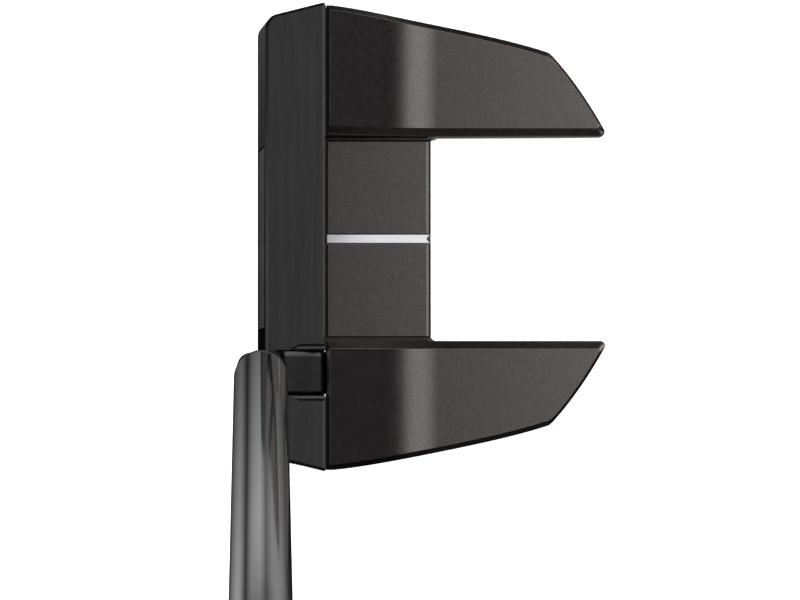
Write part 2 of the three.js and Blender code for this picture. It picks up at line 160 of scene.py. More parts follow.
def faces_near(bm, face_side):
    """the many-sided faces of the top (1) or the underside (-1)"""
    bm.normal_update()
    return [f for f in bm.faces if len(f.verts) > 4 or (abs(f.normal.z) > 0.8 and f.normal.z * face_side > 0 and f.calc_area() > 2.0)]


def loft_outline(bm, elems, levels, top_slices=(), top_z=None, bottom_slices=(), bottom_z=None, warp=None):
    """levels: (inset function of w, height function of x, y, w), from the bottom to the top"""
    rings = []
    for inset, zf in levels:
        row = []
        for x, y, w in ring(elems, inset):
            z = zf(x, y, w)
            row.append(bm.verts.new(warp(x, y, z) if warp else (x, y, z)))
        rings.append(row)
    n = len(rings[0])
    for a, b in zip(rings, rings[1:]):
        for i in range(n):
            j = (i + 1) % n
            bm.faces.new((a[i], a[j], b[j], b[i]))
    low = bm.faces.new(list(reversed(rings[0])))
    high = bm.faces.new(rings[-1])
    for face, slices, zf in ((high, top_slices, top_z), (low, bottom_slices, bottom_z)):
        faces = [face]
        for y in slices:
            geom = set(faces)
            for f in faces:
                geom.update(f.edges)
                geom.update(f.verts)
            res = bmesh.ops.bisect_plane(bm, geom=list(geom), plane_co=(0, y, 0), plane_no=(0, 1, 0), dist=1e-5)
            faces = [g for g in res["geom"] if isinstance(g, bmesh.types.BMFace)]
            for g in res["geom_cut"]:
                if isinstance(g, bmesh.types.BMVert):
                    g.co.z = zf(g.co.y)
        if slices:
            bmesh.ops.triangulate(bm, faces=faces_near(bm, face_side=1 if zf is top_z else -1))
    return rings


def edge_levels(top, bottom, foot=0.6, rise=None):
    """rounded foot, wall, rounded rim, chamfer and a soft break onto the top face"""
    def s(w):
        return 0.035

    rise = rise or foot
    low = [(lambda w, f=f: foot * f, lambda x, y, w, g=g: bottom(y) + rise * g)
           for f, g in ((1.0, 0.0), (0.78, 0.02), (0.55, 0.09), (0.37, 0.2), (0.21, 0.37), (0.09, 0.6), (0.02, 0.82), (0.0, 1.0))]
    high = [
        (lambda w: 0.0, lambda x, y, w: top(y) - w[1] * w[2] - 1.7 * w[0]),
        (lambda w: 0.09 * w[0], lambda x, y, w: top(y) - w[1] * w[2] - 1.18 * w[0]),
        (lambda w: 0.30 * w[0], lambda x, y, w: top(y) - w[1] * w[2] - 0.70 * w[0]),
        (lambda w: 0.62 * w[0], lambda x, y, w: top(y) - w[1] * w[2] - 0.30 * w[0]),
        (lambda w: w[0], lambda x, y, w: top(y) - w[1] * w[2]),
        (lambda w: w[0] + w[1] - s(w), lambda x, y, w: top(y) - s(w) * w[2]),
        (lambda w: w[0] + w[1] - 0.3 * s(w), lambda x, y, w: top(y) - 0.42 * s(w) * w[2]),
        (lambda w: w[0] + w[1] + 0.5 * s(w), lambda x, y, w: top(y) - 0.1 * s(w) * w[2]),
        (lambda w: w[0] + w[1] + 1.3 * s(w), lambda x, y, w: top(y)),
    ]
    return low + high


def as_object(name, bm):
    me = bpy.data.meshes.new(name)
    bmesh.ops.recalc_face_normals(bm, faces=bm.faces)
    bm.to_mesh(me)
    bm.free()
    ob = bpy.data.objects.new(name, me)
    SCENE.collection.objects.link(ob)
    return ob


def outline_object(name, elems, levels, **kw):
    bm = bmesh.new()
    loft_outline(bm, elems, levels, **kw)
    return as_object(name, bm)


def prism(name, points, lo, hi, axis="z"):
    """outline points raised along an axis: z (x, y), x (y, z)"""
    bm = bmesh.new()
    put = {"z": lambda a, b, c: (a, b, c), "x": lambda a, b, c: (c, a, b)}[axis]
    low = [bm.verts.new(put(a, b, lo)) for a, b in points]
    high = [bm.verts.new(put(a, b, hi)) for a, b in points]
    n = len(points)
    for i in range(n):
        j = (i + 1) % n
        bm.faces.new((low[i], low[j], high[j], high[i]))
    bm.faces.new(list(reversed(low)))
    bm.faces.new(high)
    return as_object(name, bm)


def block(name, x0, x1, y0, y1, z0, z1):
    return prism(name, [(x0, y0), (x1, y0), (x1, y1), (x0, y1)], z0, z1)


def turned(name, profile, seg=64, closed=False, x=0.0, y=0.0, phase=0.0):
    """profile of (r, z) turned about z; a closed profile makes a tube or a ring"""
    bm = bmesh.new()
    rows = []
    for r, z in profile:
        if r < 1e-6 and not closed:
            rows.append([bm.verts.new((x, y, z))])
        else:
            rows.append([
                bm.verts.new((x + r * math.cos(phase + 2 * math.pi * k / seg), y + r * math.sin(phase + 2 * math.pi * k / seg), z))
                for k in range(seg)
            ])
    pairs = list(zip(rows, rows[1:]))
    if closed:
        pairs.append((rows[-1], rows[0]))
    for a, b in pairs:
        for k in range(seg):
            j = (k + 1) % seg
            if len(a) == 1:
                bm.faces.new((a[0], b[j], b[k]))
            elif len(b) == 1:
                bm.faces.new((a[k], a[j], b[0]))
            else:
                bm.faces.new((a[k], a[j], b[j], b[k]))
    return as_object(name, bm)


def tube_rows(name, rows, cap=True):
    """closed body from rings of equal length"""
    bm = bmesh.new()
    vs = [[bm.verts.new(p) for p in row] for row in rows]
    n = len(vs[0])
    for a, b in zip(vs, vs[1:]):
        for k in range(n):
            j = (k + 1) % n
            bm.faces.new((a[k], a[j], b[j], b[k]))
    if cap:
        bm.faces.new(list(reversed(vs[0])))
        bm.faces.new(vs[-1])
    return as_object(name, bm)


def combine(a, b, how):
    mod = a.modifiers.new("cut", "BOOLEAN")
    mod.object = b
    mod.operation = how
    mod.solver = "EXACT"
    dg = bpy.context.evaluated_depsgraph_get()
    me = bpy.data.meshes.new_from_object(a.evaluated_get(dg))
    a.modifiers.clear()
    old = a.data
    a.data = me
    bpy.data.meshes.remove(old)
    mesh_b = b.data
    bpy.data.objects.remove(b)
    bpy.data.meshes.remove(mesh_b)
    return a


def minus(a, *cutters):
    for c in cutters:
        combine(a, c, "DIFFERENCE")
    return a


def plus(a, *others):
    for c in others:
        combine(a, c, "UNION")
    return a


def tidy(ob, near=2e-4):
    bm = bmesh.new()
    bm.from_mesh(ob.data)
    bmesh.ops.remove_doubles(bm, verts=bm.verts, dist=near)
    bmesh.ops.dissolve_degenerate(bm, edges=bm.edges, dist=near)
    loose = [v for v in bm.verts if not v.link_faces]
    bmesh.ops.delete(bm, geom=loose, context="VERTS")
    bm.to_mesh(ob.data)
    bm.free()
    return ob


def tilt_with_face(ob):
    m = Matrix.Translation((0, LEAD_Y, 0)) @ Matrix.Rotation(-LOFT, 4, "X")
    ob.data.transform(m)
    return ob


def on_shaft(ob):
    m = Matrix.Translation((AXIS_X0, AXIS_Y, 0)) @ Matrix.Rotation(math.pi / 2 - LIE, 4, "Y")
    ob.data.transform(m)
    return ob


def piece(ob, name, material, nodes, sharp=32.0, weighted=True):
    ob.name = name
    ob.data.name = name
    ob.data.transform(Matrix.Scale(MM, 4))
    ob.data.materials.clear()
    ob.data.materials.append(material)
    for p in ob.data.polygons:
        p.use_smooth = True
        p.material_index = 0
    ob.data.set_sharp_from_angle(angle=math.radians(sharp))
    if weighted:
        w = ob.modifiers.new("normals", "WEIGHTED_NORMAL")
        w.mode = "FACE_AREA"
        w.weight = 50
        w.keep_sharp = True
    ob.data.update()
    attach(ob, "root")
    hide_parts(*nodes)
    return ob


# ------------------------------------------------------------------- materials
class Nodes:
    def __init__(self, name):
        self.m = bpy.data.materials.new(name)
        self.m.use_nodes = True
        self.t = self.m.node_tree
        self.b = self.t.nodes["Principled BSDF"]
        self.co = self.t.nodes.new("ShaderNodeTexCoord")

    def new(self, kind, **settings):
        n = self.t.nodes.new(kind)
        for k, v in settings.items():
            setattr(n, k, v)
        return n

    def link(self, a, b):
        self.t.links.new(a, b)

    def stretched(self, scale=(1, 1, 1), turn=(0, 0, 0)):
        mp = self.new("ShaderNodeMapping")
        mp.inputs["Scale"].default_value = scale
        mp.inputs["Rotation"].default_value = turn
        self.link(self.co.outputs["Object"], mp.inputs["Vector"])
        return mp.outputs["Vector"]

    def noise(self, scale, detail=2.0, rough=0.5, vector=None):
        n = self.new("ShaderNodeTexNoise")
        n.inputs["Scale"].default_value = scale
        n.inputs["Detail"].default_value = detail
        n.inputs["Roughness"].default_value = rough
        self.link(vector or self.co.outputs["Object"], n.inputs["Vector"])
        return n.outputs["Fac"]

    def cells(self, scale, vector=None):
        n = self.new("ShaderNodeTexVoronoi")
        n.inputs["Scale"].default_value = scale
        self.link(vector or self.co.outputs["Object"], n.inputs["Vector"])
        s = self.new("ShaderNodeSeparateColor")
        self.link(n.outputs["Color"], s.inputs["Color"])
        return s.outputs["Red"]

    def ramp(self, fac, stops):
        r = self.new("ShaderNodeValToRGB")
        el = r.color_ramp.elements
        while len(el) < len(stops):
            el.new(0.5)
        for e, (pos, col) in zip(el, stops):
            e.position = pos
            e.color = (*col, 1) if len(col) == 3 else col
        self.link(fac, r.inputs["Fac"])
        return r.outputs["Color"]

    def span(self, fac, lo, hi, a=0.3, b=0.7):
        r = self.new("ShaderNodeMapRange")
        r.inputs["From Min"].default_value = a
        r.inputs["From Max"].default_value = b
        r.inputs["To Min"].default_value = lo
        r.inputs["To Max"].default_value = hi
        self.link(fac, r.inputs["Value"])
        return r.outputs["Result"]

    def mixed(self, fac, a, b, how="MIX"):
        n = self.new("ShaderNodeMix", data_type="RGBA", blend_type=how)
        if isinstance(fac, (int, float)):
            n.inputs["Factor"].default_value = fac
        else:
            self.link(fac, n.inputs["Factor"])
        self.link(a, n.inputs["A"])
        self.link(b, n.inputs["B"])
        return n.outputs["Result"]

    def bump(self, height, strength, distance, normal=None):
        n = self.new("ShaderNodeBump")
        n.inputs["Strength"].default_value = strength
        n.inputs["Distance"].default_value = distance
        self.link(height, n.inputs["Height"])
        if normal is not None:
            self.link(normal, n.inputs["Normal"])
        return n.outputs["Normal"]

    def done(self, colour=None, rough=None, normal=None, **constant):
        if colour is not None:
            self.link(colour, self.b.inputs["Base Color"])
        if rough is not None:
            self.link(rough, self.b.inputs["Roughness"])
        if normal is not None:
            self.link(normal, self.b.inputs["Normal"])
        for k, v in constant.items():
            self.b.inputs[k.replace("_", " ")].default_value = v
        return self.m


def shade(c, k):
    return tuple(min(1.0, v * k) for v in c)


def blasted_aluminium(name, colour, lo, hi, grain=0.10, painted_sheen_by_y=()):
    """dark anodised aluminium over a fine bead-blasted skin: small bright and dull flakes"""
    n = Nodes(name)
    flake = n.cells(3700)
    fine = n.noise(2100, 3, 0.65)
    cloud = n.noise(38, 3, 0.55)
    a = n.ramp(flake, [(0.0, shade(colour, 1 - grain)), (0.72, shade(colour, 1 + 0.3 * grain)), (1.0, shade(colour, 1 + 2.4 * grain))])
    b = n.ramp(fine, [(0.32, shade(colour, 1 - 0.9 * grain)), (0.68, shade(colour, 1 + 0.9 * grain))])
    c = n.mixed(0.5, a, b)
    tint = n.ramp(cloud, [(0.3, (0.95, 0.955, 0.965)), (0.7, (1.0, 0.995, 0.985))])
    c = n.mixed(1.0, c, tint, "MULTIPLY")
    if painted_sheen_by_y:
        # painted reflection: the colour follows how brightly the metal reflects along y, mostly lighter toward the
        # rear: (y in metres, level)
        y0, y1 = painted_sheen_by_y[0][0], painted_sheen_by_y[-1][0]
        sep = n.new("ShaderNodeSeparateXYZ")
        n.link(n.co.outputs["Object"], sep.inputs["Vector"])
        c = n.mixed(1.0, c, n.ramp(n.span(sep.outputs["Y"], 0.0, 1.0, y0, y1), [((y - y0) / (y1 - y0), (v, v, v)) for y, v in painted_sheen_by_y]), "MULTIPLY")
    rough = n.span(n.noise(900, 4, 0.6), lo, hi)
    nrm = n.bump(n.noise(5200, 2, 0.6), 0.22, 6e-6)
    return n.done(c, rough, nrm, Metallic=1.0, Specular_Tint=(0.35, 0.35, 0.35, 1.0))


def coated_steel(name, colour, lo, hi, streak=(60, 900, 900), tint=0.3):
    """near-black vapour coating over fine-milled steel: faint cutter lines, soft smudges"""
    n = Nodes(name)
    lines = n.noise(1.0, 3, 0.6, n.stretched(streak))
    fine = n.noise(3000, 2, 0.5)
    smudge = n.noise(24, 4, 0.6)
    a = n.ramp(lines, [(0.3, shade(colour, 0.90)), (0.7, shade(colour, 1.10))])
    b = n.ramp(smudge, [(0.35, shade(colour, 0.93)), (0.65, shade(colour, 1.07))])
    c = n.mixed(0.5, a, b)
    rough = n.span(n.noise(1.0, 4, 0.6, n.stretched(streak)), lo, hi)
    nrm = n.bump(fine, 0.12, 4e-6)
    return n.done(c, rough, nrm, Metallic=1.0, Specular_Tint=(tint, tint, tint, 1.0))


def moulded(name, colour, lo, hi, bumps=2200, depth=3e-5, strength=0.35, metal=0.0, level=0.5):
    """matt rubber or polymer with a moulded skin"""
    n = Nodes(name)
    skin = n.noise(bumps, 3, 0.6)
    cloud = n.noise(30, 4, 0.6)
    a = n.ramp(cloud, [(0.3, shade(colour, 0.86)), (0.7, shade(colour, 1.16))])
    b = n.ramp(skin, [(0.3, shade(colour, 0.85)), (0.7, shade(colour, 1.2))])
    c = n.mixed(0.5, a, b)
    rough = n.span(n.noise(300, 3, 0.6), lo, hi)
    nrm = n.bump(skin, strength, depth)
    return n.done(c, rough, nrm, Metallic=metal, Specular_IOR_Level=level)


def plated_tube(name, colour, lo, hi):
    """black-chrome plated steel tube: fine polishing lines along the tube"""
    n = Nodes(name)
    lean = (0, -(math.pi / 2 - LIE), 0)
    v = n.stretched((900, 900, 6), lean)
    lines = n.noise(1.0, 3, 0.6, v)
    cloud = n.noise(14, 3, 0.55)
    a = n.ramp(lines, [(0.3, shade(colour, 0.95)), (0.7, shade(colour, 1.05))])
    b = n.ramp(cloud, [(0.3, shade(colour, 0.95)), (0.7, shade(colour, 1.04))])
    c = n.mixed(0.5, a, b)
    rough = n.span(n.noise(1.0, 3, 0.6, n.stretched((500, 500, 5), lean)), lo, hi)
    nrm = n.bump(lines, 0.05, 3e-6)
    return n.done(c, rough, nrm, Metallic=1.0, Specular_Tint=(0.6, 0.6, 0.6, 1.0))


M_STEEL = coated_steel("dark_steel", (0.128, 0.128, 0.129), 0.25, 0.31, tint=0.1)
M_SOLE = coated_steel("sole_steel", (0.17, 0.17, 0.172), 0.30, 0.38, streak=(900, 60, 900))
M_NECK = coated_steel("neck_steel", (0.125, 0.125, 0.127), 0.27, 0.33, streak=(700, 700, 60))
# both aluminium colours carry a painted reflection ramp along y (the last argument): lighter toward the rear, where the
# metal reflects more light
M_FRAME = blasted_aluminium("gunmetal_aluminium", (0.328, 0.3013, 0.2852), 0.19, 0.24, grain=0.14,
                            painted_sheen_by_y=((0.016, 0.865), (0.022, 0.82), (0.028, 0.845), (0.036, 0.895), (0.052, 0.99)))
M_DECK = blasted_aluminium("deck_aluminium", (0.312, 0.2905, 0.2788), 0.19, 0.24, grain=0.14, painted_sheen_by_y=((-0.004, 0.82), (0.006, 0.87), (0.017, 0.97)))
M_CHROME = plated_tube("black_chrome", (0.44, 0.44, 0.445), 0.075, 0.105)
M_LINE = moulded("white_inlay", (0.585, 0.585, 0.598), 0.45, 0.6, bumps=4000, depth=8e-6, strength=0.2)
M_INSERT = moulded("insert_polymer", (0.028, 0.030, 0.034), 0.45, 0.6, bumps=3500, depth=1.5e-5, strength=0.3)
M_GRIP = moulded("grip_rubber", (0.022, 0.022, 0.023), 0.62, 0.8, bumps=1800, depth=5e-5, strength=0.5)
M_CAP = moulded("cap_rubber", (0.018, 0.018, 0.019), 0.5, 0.65, bumps=2600, depth=2e-5, strength=0.3)
M_WASHER = moulded("washer_rubber", (0.02, 0.02, 0.02), 0.7, 0.85)
M_BOND = moulded("bond_film", (0.5, 0.46, 0.35), 0.6, 0.8, bumps=800)
M_TAPE = moulded("tape", (0.62, 0.56, 0.42), 0.7, 0.9, bumps=1200, depth=4e-5)
M_SCREW = coated_steel("screw_steel", (0.10, 0.10, 0.102), 0.28, 0.36, streak=(500, 500, 500))
M_WEIGHT = coated_steel("weight_metal", (0.42, 0.405, 0.385), 0.24, 0.32, streak=(420, 420, 60), tint=0.6)

# ------------------------------------------------------------- rear frame piece
OUTER = (-1.769e-06, 0.000137185, -0.004806288, -0.117002379, 47.851964621)
DIAG = (-0.0312543779, 1.6308156406, 26.2009810505)


def poly(c, y):
    v = 0.0
    for k in c:
        v = v * y + k
    return v


INNER_W = (0.46, 1.25, 1.0)     # inner edge of each prong
OUTER_W = (0.25, 0.85, 1.0)     # outer edge
REAR_W = (0.16, 0.42, 1.0)      # slanted rear edge
FRONT_W = (0.12, 0.55, 0.8)     # edge beside the front block


def blend_w(a, b, f):
    return tuple(u * (1 - f) + v * f for u, v in zip(a, b))


def prong_elements():
    e = [("C", 48.1, FRAME_FRONT, 0.2, FRONT_W, OUTER_W, 4)]
    ys = list(np.arange(-2.6, 7.0, 1.2)) + list(np.arange(7.0, 20.5, 0.6)) + list(np.arange(21.0, 40.9, 1.4)) + [41.5]
    e += [("P", poly(OUTER, y), float(y), OUTER_W) for y in ys]
    # blend of the outer side into the slanted rear edge
    p0 = (poly(OUTER, 42.1), 42.1)
    p3 = (poly(DIAG, 44.4), 44.4)
    d0 = direction((poly(OUTER, 41.9), 41.9), p0)
    d3 = direction(p3, (poly(DIAG, 44.6), 44.6))
    p1 = (p0[0] + d0[0] * 1.0, p0[1] + d0[1] * 1.0)
    p2 = (p3[0] - d3[0] * 1.1, p3[1] - d3[1] * 1.1)
    for k in range(11):
        t = k / 10
        a, b, c, d = (1 - t) ** 3, 3 * t * (1 - t) ** 2, 3 * t * t * (1 - t), t**3
        e.append(("P", a * p0[0] + b * p1[0] + c * p2[0] + d * p3[0], a * p0[1] + b * p1[1] + c * p2[1] + d * p3[1],
                  blend_w(OUTER_W, REAR_W, t)))
    e += [("P", poly(DIAG, y), float(y), REAR_W) for y in np.arange(45.2, 53.4, 0.8)]
    e.append(("C", PRONG_IN, 55.03, 1.0, REAR_W, INNER_W, 12))
    back = list(np.arange(-2.6, 7.0, 1.2)) + list(np.arange(7.0, 20.5, 0.6)) + list(np.arange(21.0, 51.5, 2.0))
    e += [("P", PRONG_IN, float(y), INNER_W) for y in reversed(back)]
    e.append(("C", PRONG_IN, FRAME_FRONT, 0.25, INNER_W, FRONT_W, 4))
    e += [("P", x, FRAME_FRONT, FRONT_W) for x in (27.0, 34.0, 41.0)]
    return e


def mirror_elements(elems):
    out = []
    for el in reversed(elems):
        if el[0] == "P":
            out.append(("P", -el[1], el[2], el[3]))
        else:
            out.append(("C", -el[1], el[2], el[3], el[5], el[4], el[6]))
    return out


def build_frame():
    tops = [float(v) for v in np.arange(-1.2, 5.9, 3.5)] + [float(v) for v in np.arange(6.4, 20.6, 0.4)] + [26.0, 34.0, 42.0, 48.0]
    lows = [8.0] + [float(v) for v in np.arange(10.5, 54, 2.5)]
    body = None
    for mirrored in (False, True):
        el = prong_elements()
        if mirrored:
            el = mirror_elements(el)
        ob = outline_object(
            "prong", el, edge_levels(prong_top, prong_bottom, foot=1.7, rise=6.0),
            top_slices=tops, top_z=prong_top, bottom_slices=lows, bottom_z=prong_bottom,
        )
        if body is None:
            body = ob
        else:
            other = ob
    # bridge between the prongs, with small fillets where its rear wall meets them
    r = 1.1
    c = PRONG_IN - r + 0.05
    right = [(24.0, FRAME_FRONT), (24.0, 20.2)]
    right += [(c + r * math.cos(math.radians(a)), 19.15 + r * math.sin(math.radians(a))) for a in (12, 0, -15, -30, -45, -60, -75, -90)]
    pts = right + [(-x, y) for x, y in reversed(right)]
    bridge = prism("bridge", pts, 1.0, LEDGE_Z)
    minus(
        bridge,
        recess_cutter(),
        block("relief", 21.0, 23.0, -10, 17.3, 7.5, LEDGE_Z + 1),
        block("relief", -23.0, -21.0, -10, 17.3, 7.5, LEDGE_Z + 1),
        block("sole_room", -SOLE_HALF - GAP, SOLE_HALF + GAP, -10, BRIDGE_REAR + 3, -5, TONGUE_Z0),
        block("tongue_room", -19.9, 19.9, -10, TONGUE_REAR + GAP, -5, 5.5),
    )
    # soft break along the top of the rear wall
    minus(bridge, prism("break", [(BRIDGE_REAR - 0.3, BRIDGE_TOP), (BRIDGE_REAR + 2, BRIDGE_TOP - 2.3), (BRIDGE_REAR + 2, BRIDGE_TOP + 0.6),
                                  (BRIDGE_REAR - 0.3, BRIDGE_TOP + 0.6)], -RECESS_HALF, RECESS_HALF, "x"))
    plus(body, bridge, other)
    for x, y in FRAME_SCREWS:
        minus(body, turned("hole", [(0, 0), (1.8, 0), (1.8, 9.0), (0, 9.0)], 40, x=x, y=y))
    for x, y in DECK_SCREWS:
        minus(body, turned("hole", [(0, 0), (2.9, 0), (2.9, 20), (0, 20)], 48, x=x, y=y))
    for s in (-1, 1):
        zb = prong_bottom(WEIGHT_Y)
        minus(body, turned("bore", [(0, -5), (7.2, -5), (7.2, 0.0), (6.3, zb - 0.2), (WEIGHT_R + GAP, zb + 0.75), (WEIGHT_R + GAP, 12.5), (0, 12.5)], 80,
                           x=s * WEIGHT_X, y=WEIGHT_Y))
    return tidy(body)


def recess_cutter():
    """room of the centre deck, with a narrow break along the ledges; a bar along y"""
    pts = [(-RECESS_HALF, BRIDGE_TOP), (RECESS_HALF, BRIDGE_TOP), (RECESS_HALF, LEDGE_Z - 0.10), (RECESS_HALF + 0.12, LEDGE_Z + 0.05),
           (RECESS_HALF + 0.12, 20), (-RECESS_HALF - 0.12, 20), (-RECESS_HALF - 0.12, LEDGE_Z + 0.05), (-RECESS_HALF, LEDGE_Z - 0.10)]
    bm = bmesh.new()
    a = [bm.verts.new((x, -10, z)) for x, z in pts]
    b = [bm.verts.new((x, 26, z)) for x, z in pts]
    n = len(pts)
    for i in range(n):
        j = (i + 1) % n
        bm.faces.new((a[i], a[j], b[j], b[i]))
    bm.faces.new(list(reversed(a)))
    bm.faces.new(b)
    return as_object("recess", bm)


# ------------------------------------------------------------- front block piece
FACE_W = (0.10, 0.50, 1.6)
END_W = (0.24, 0.45, 1.0)
BACK_W = (0.07, 0.42, 0.17)


def front_elements():
    e = [("C", 45.28, FACE_Y, 3.0, FACE_W, END_W, 14)]
    e += [("P", 48.2 - (-5.0 - y) * 0.2549 if y < -5 else 48.2, y, END_W) for y in (-12.0, -10.0, -8.0, -6.0)]
    e.append(("C", 48.4, BODY_REAR, 0.28, END_W, BACK_W, 5))
    e += [("P", float(x), BODY_REAR, BACK_W) for x in (40, 30, 20, 10, 0, -10, -20, -30, -40)]
    e.append(("C", -48.4, BODY_REAR, 0.45, BACK_W, END_W, 5))
    e += [("P", -(48.2 - (-5.0 - y) * 0.2549), y, END_W) for y in (-6.0, -8.0, -10.0, -12.0)]
    e.append(("C", -45.28, FACE_Y, 3.0, END_W, FACE_W, 14))
    e += [("P", float(x), FACE_Y, FACE_W) for x in (-36, -24, -12, 0, 12, 24, 36)]
    return e


def lofted_face(x, y, z):
    f = min(1.0, max(0.0, (-5.0 - y) / 8.6))
    return (x, y - (TOP_Z - z) * math.tan(LOFT + 0.0105) * f, z)


def rounded_rect(a0, a1, b0, b1, r, n=6):
    out = []
    for cx, cy, s in ((a1 - r, b0 + r, -90), (a1 - r, b1 - r, 0), (a0 + r, b1 - r, 90), (a0 + r, b0 + r, 180)):
        for k in range(n + 1):
            a = math.radians(s + 90 * k / n)
            out.append((cx + r * math.cos(a), cy + r * math.sin(a)))
    return out


def plate_y(name, points, y0, y1):
    """outline in (x, z), thick along y"""
    bm = bmesh.new()
    a = [bm.verts.new((x, y0, z)) for x, z in points]
    b = [bm.verts.new((x, y1, z)) for x, z in points]
    n = len(points)
    for i in range(n):
        j = (i + 1) % n
        bm.faces.new((a[i], a[j], b[j], b[i]))
    bm.faces.new(list(reversed(a)))
    bm.faces.new(b)
    return as_object(name, bm)


def notch_cutter():
    """run-out of the neck slot: a ramp, and along both sides a steep break with a narrow ledge below it"""
    hw = NECK_HW + 0.55
    ledge, deep = 0.50, 0.24
    run, steep = 0.40, 0.56
    full = deep + steep
    y0, y1 = -11.4, BODY_REAR + 1
    slope = 0.40
    up = 3.0
    rows = []
    for y in (y0, y0 + full / slope, y1):
        d = max(slope * (y - y0), 0.004)
        k = min(1.0, d / full)
        half = [(hw, TOP_Z - d), (hw, TOP_Z - full * k + 0.001), (hw + ledge * k, TOP_Z - steep * k), (hw + (ledge + run) * k + up * run / steep, TOP_Z + up)]
        rows.append([(NECK_X + a, y, z) for a, z in half] + [(NECK_X - a - 0.07, y, z) for a, z in reversed(half)])
    return tube_rows("notch", rows)


def build_front():
    body = outline_object(
        "front", front_elements(),
        edge_levels(lambda y: TOP_Z, lambda y: BODY_BOTTOM, foot=1.3), warp=lofted_face,
    )
    plus(body, block("tongue", -19.6, 19.6, BODY_REAR - 1, TONGUE_REAR, TONGUE_Z0, TONGUE_Z1))
    # a narrow lip down the rear wall, behind the joint with the frame
    for x0, x1 in ((-48.12, -20.9), (20.9, 23.0), (33.1, 48.12)):
        plus(body, block("lip", x0, x1, BODY_REAR - 0.5, FRAME_FRONT - 0.07, 2.6, 20.6))
    minus(body, block("seat", -SOLE_HALF - GAP, SOLE_HALF + GAP, SOLE_FRONT - GAP, 30, -5, TONGUE_Z0))
    pocket = plate_y("pocket", rounded_rect(-INSERT_HALF - GAP, INSERT_HALF + GAP, INSERT_Z0 - GAP, INSERT_Z1 + GAP, 1.4), -3, INSERT_T + 1.1)
    minus(body, tilt_with_face(pocket))
    minus(body, block("slot", NECK_X - NECK_HW - GAP, NECK_X + NECK_HW + GAP, SLOT_FRONT, 2, SLOT_FLOOR, TOP_Z + 5))
    minus(body, notch_cutter())
    for x, y in FRAME_SCREWS:
        minus(body, turned("hole", [(0, -1), (3.1, -1), (3.1, 2.9), (1.8, 4.4), (1.8, 10), (0, 10)], 40, x=x, y=y))
    for x, y in SOLE_SCREWS:
        minus(body, turned("hole", [(0, -1), (1.55, -1), (1.55, 7.4 if y < -4 else 10), (0, 7.4 if y < -4 else 10)], 40, x=x, y=y))
    minus(body, turned("hole", [(0, -1), (4.9, -1), (4.3, 0.8), (4.3, 1.7), (2.35, 4.0), (2.35, SLOT_FLOOR + 1), (0, SLOT_FLOOR + 1)], 56, x=NECK_X, y=NECK_SCREW_Y))
    return tidy(body)


# -------------------------------------------------------------- deck, sight line
def build_deck():
    side = (0.06, 0.2, 0.9)
    rear = (0.08, 0.34, 1.0)
    front = (0.05, 0.12, 1.0)
    el = [("C", DECK_HALF, DECK_FRONT, 0.15, front, side, 3), ("C", DECK_HALF, BRIDGE_REAR, 0.35, side, rear, 4),
          ("P", 8.0, BRIDGE_REAR, rear), ("P", -8.0, BRIDGE_REAR, rear),
          ("C", -DECK_HALF, BRIDGE_REAR, 0.35, rear, side, 4), ("C", -DECK_HALF, DECK_FRONT, 0.15, side, front, 3),
          ("P", -8.0, DECK_FRONT, front), ("P", 8.0, DECK_FRONT, front)]
    crown = 0.5

    def top(y):
        # the deck falls away very slightly just before its rear edge
        d = y - (BRIDGE_REAR - 0.42 - crown)
        return DECK_TOP if d <= 0 else DECK_TOP - 0.055 * min(1.0, d / crown) * crown * 2.2

    deck = outline_object("deck", el, edge_levels(top, lambda y: DECK_BOTTOM, foot=0.12),
                          top_slices=[BRIDGE_REAR - 0.42 - crown - 0.12, BRIDGE_REAR - 0.42 - crown, BRIDGE_REAR - 0.42 - crown + 0.12], top_z=top)
    w = LINE_W / 2 + GAP
    zf = DECK_TOP - LINE_D - GAP
    pts = [(-w, zf), (w, zf), (w, DECK_TOP - 0.1), (w + 0.6, DECK_TOP + 0.5), (-w - 0.6, DECK_TOP + 0.5), (-w, DECK_TOP - 0.1)]
    minus(deck, plate_y("groove", pts, DECK_FRONT - 1, BRIDGE_REAR + 1))
    for x, y in DECK_SCREWS:
        plus(deck, turned("boss", [(0, 7.6), (2.35, 7.6), (2.5, 7.75), (2.5, DECK_BOTTOM + 0.5), (0, DECK_BOTTOM + 0.5)], 48, x=x, y=y))
        minus(deck, turned("hole", [(0, 0), (1.55, 0), (1.55, 11.0), (0, 11.0)], 40, x=x, y=y))
    return tidy(deck)


def build_line():
    h = LINE_W / 2
    none = (0.04, 0.06, 0.5)
    y1 = BRIDGE_REAR - 0.3
    el = [("P", -h + 0.2, DECK_FRONT, none), ("C", h, DECK_FRONT, 0.05, none, none, 2), ("P", h, 7.0, none), ("C", h, y1, 0.05, none, none, 2),
          ("C", 0.0, y1 - 0.62, 0.05, none, none, 2),
          ("C", -h, y1, 0.05, none, none, 2), ("P", -h, 7.0, none), ("C", -h, DECK_FRONT, 0.05, none, none, 2)]
    return tidy(outline_object("line", el, edge_levels(lambda y: DECK_TOP - 0.05, lambda y: DECK_TOP - LINE_D, foot=0.05)))


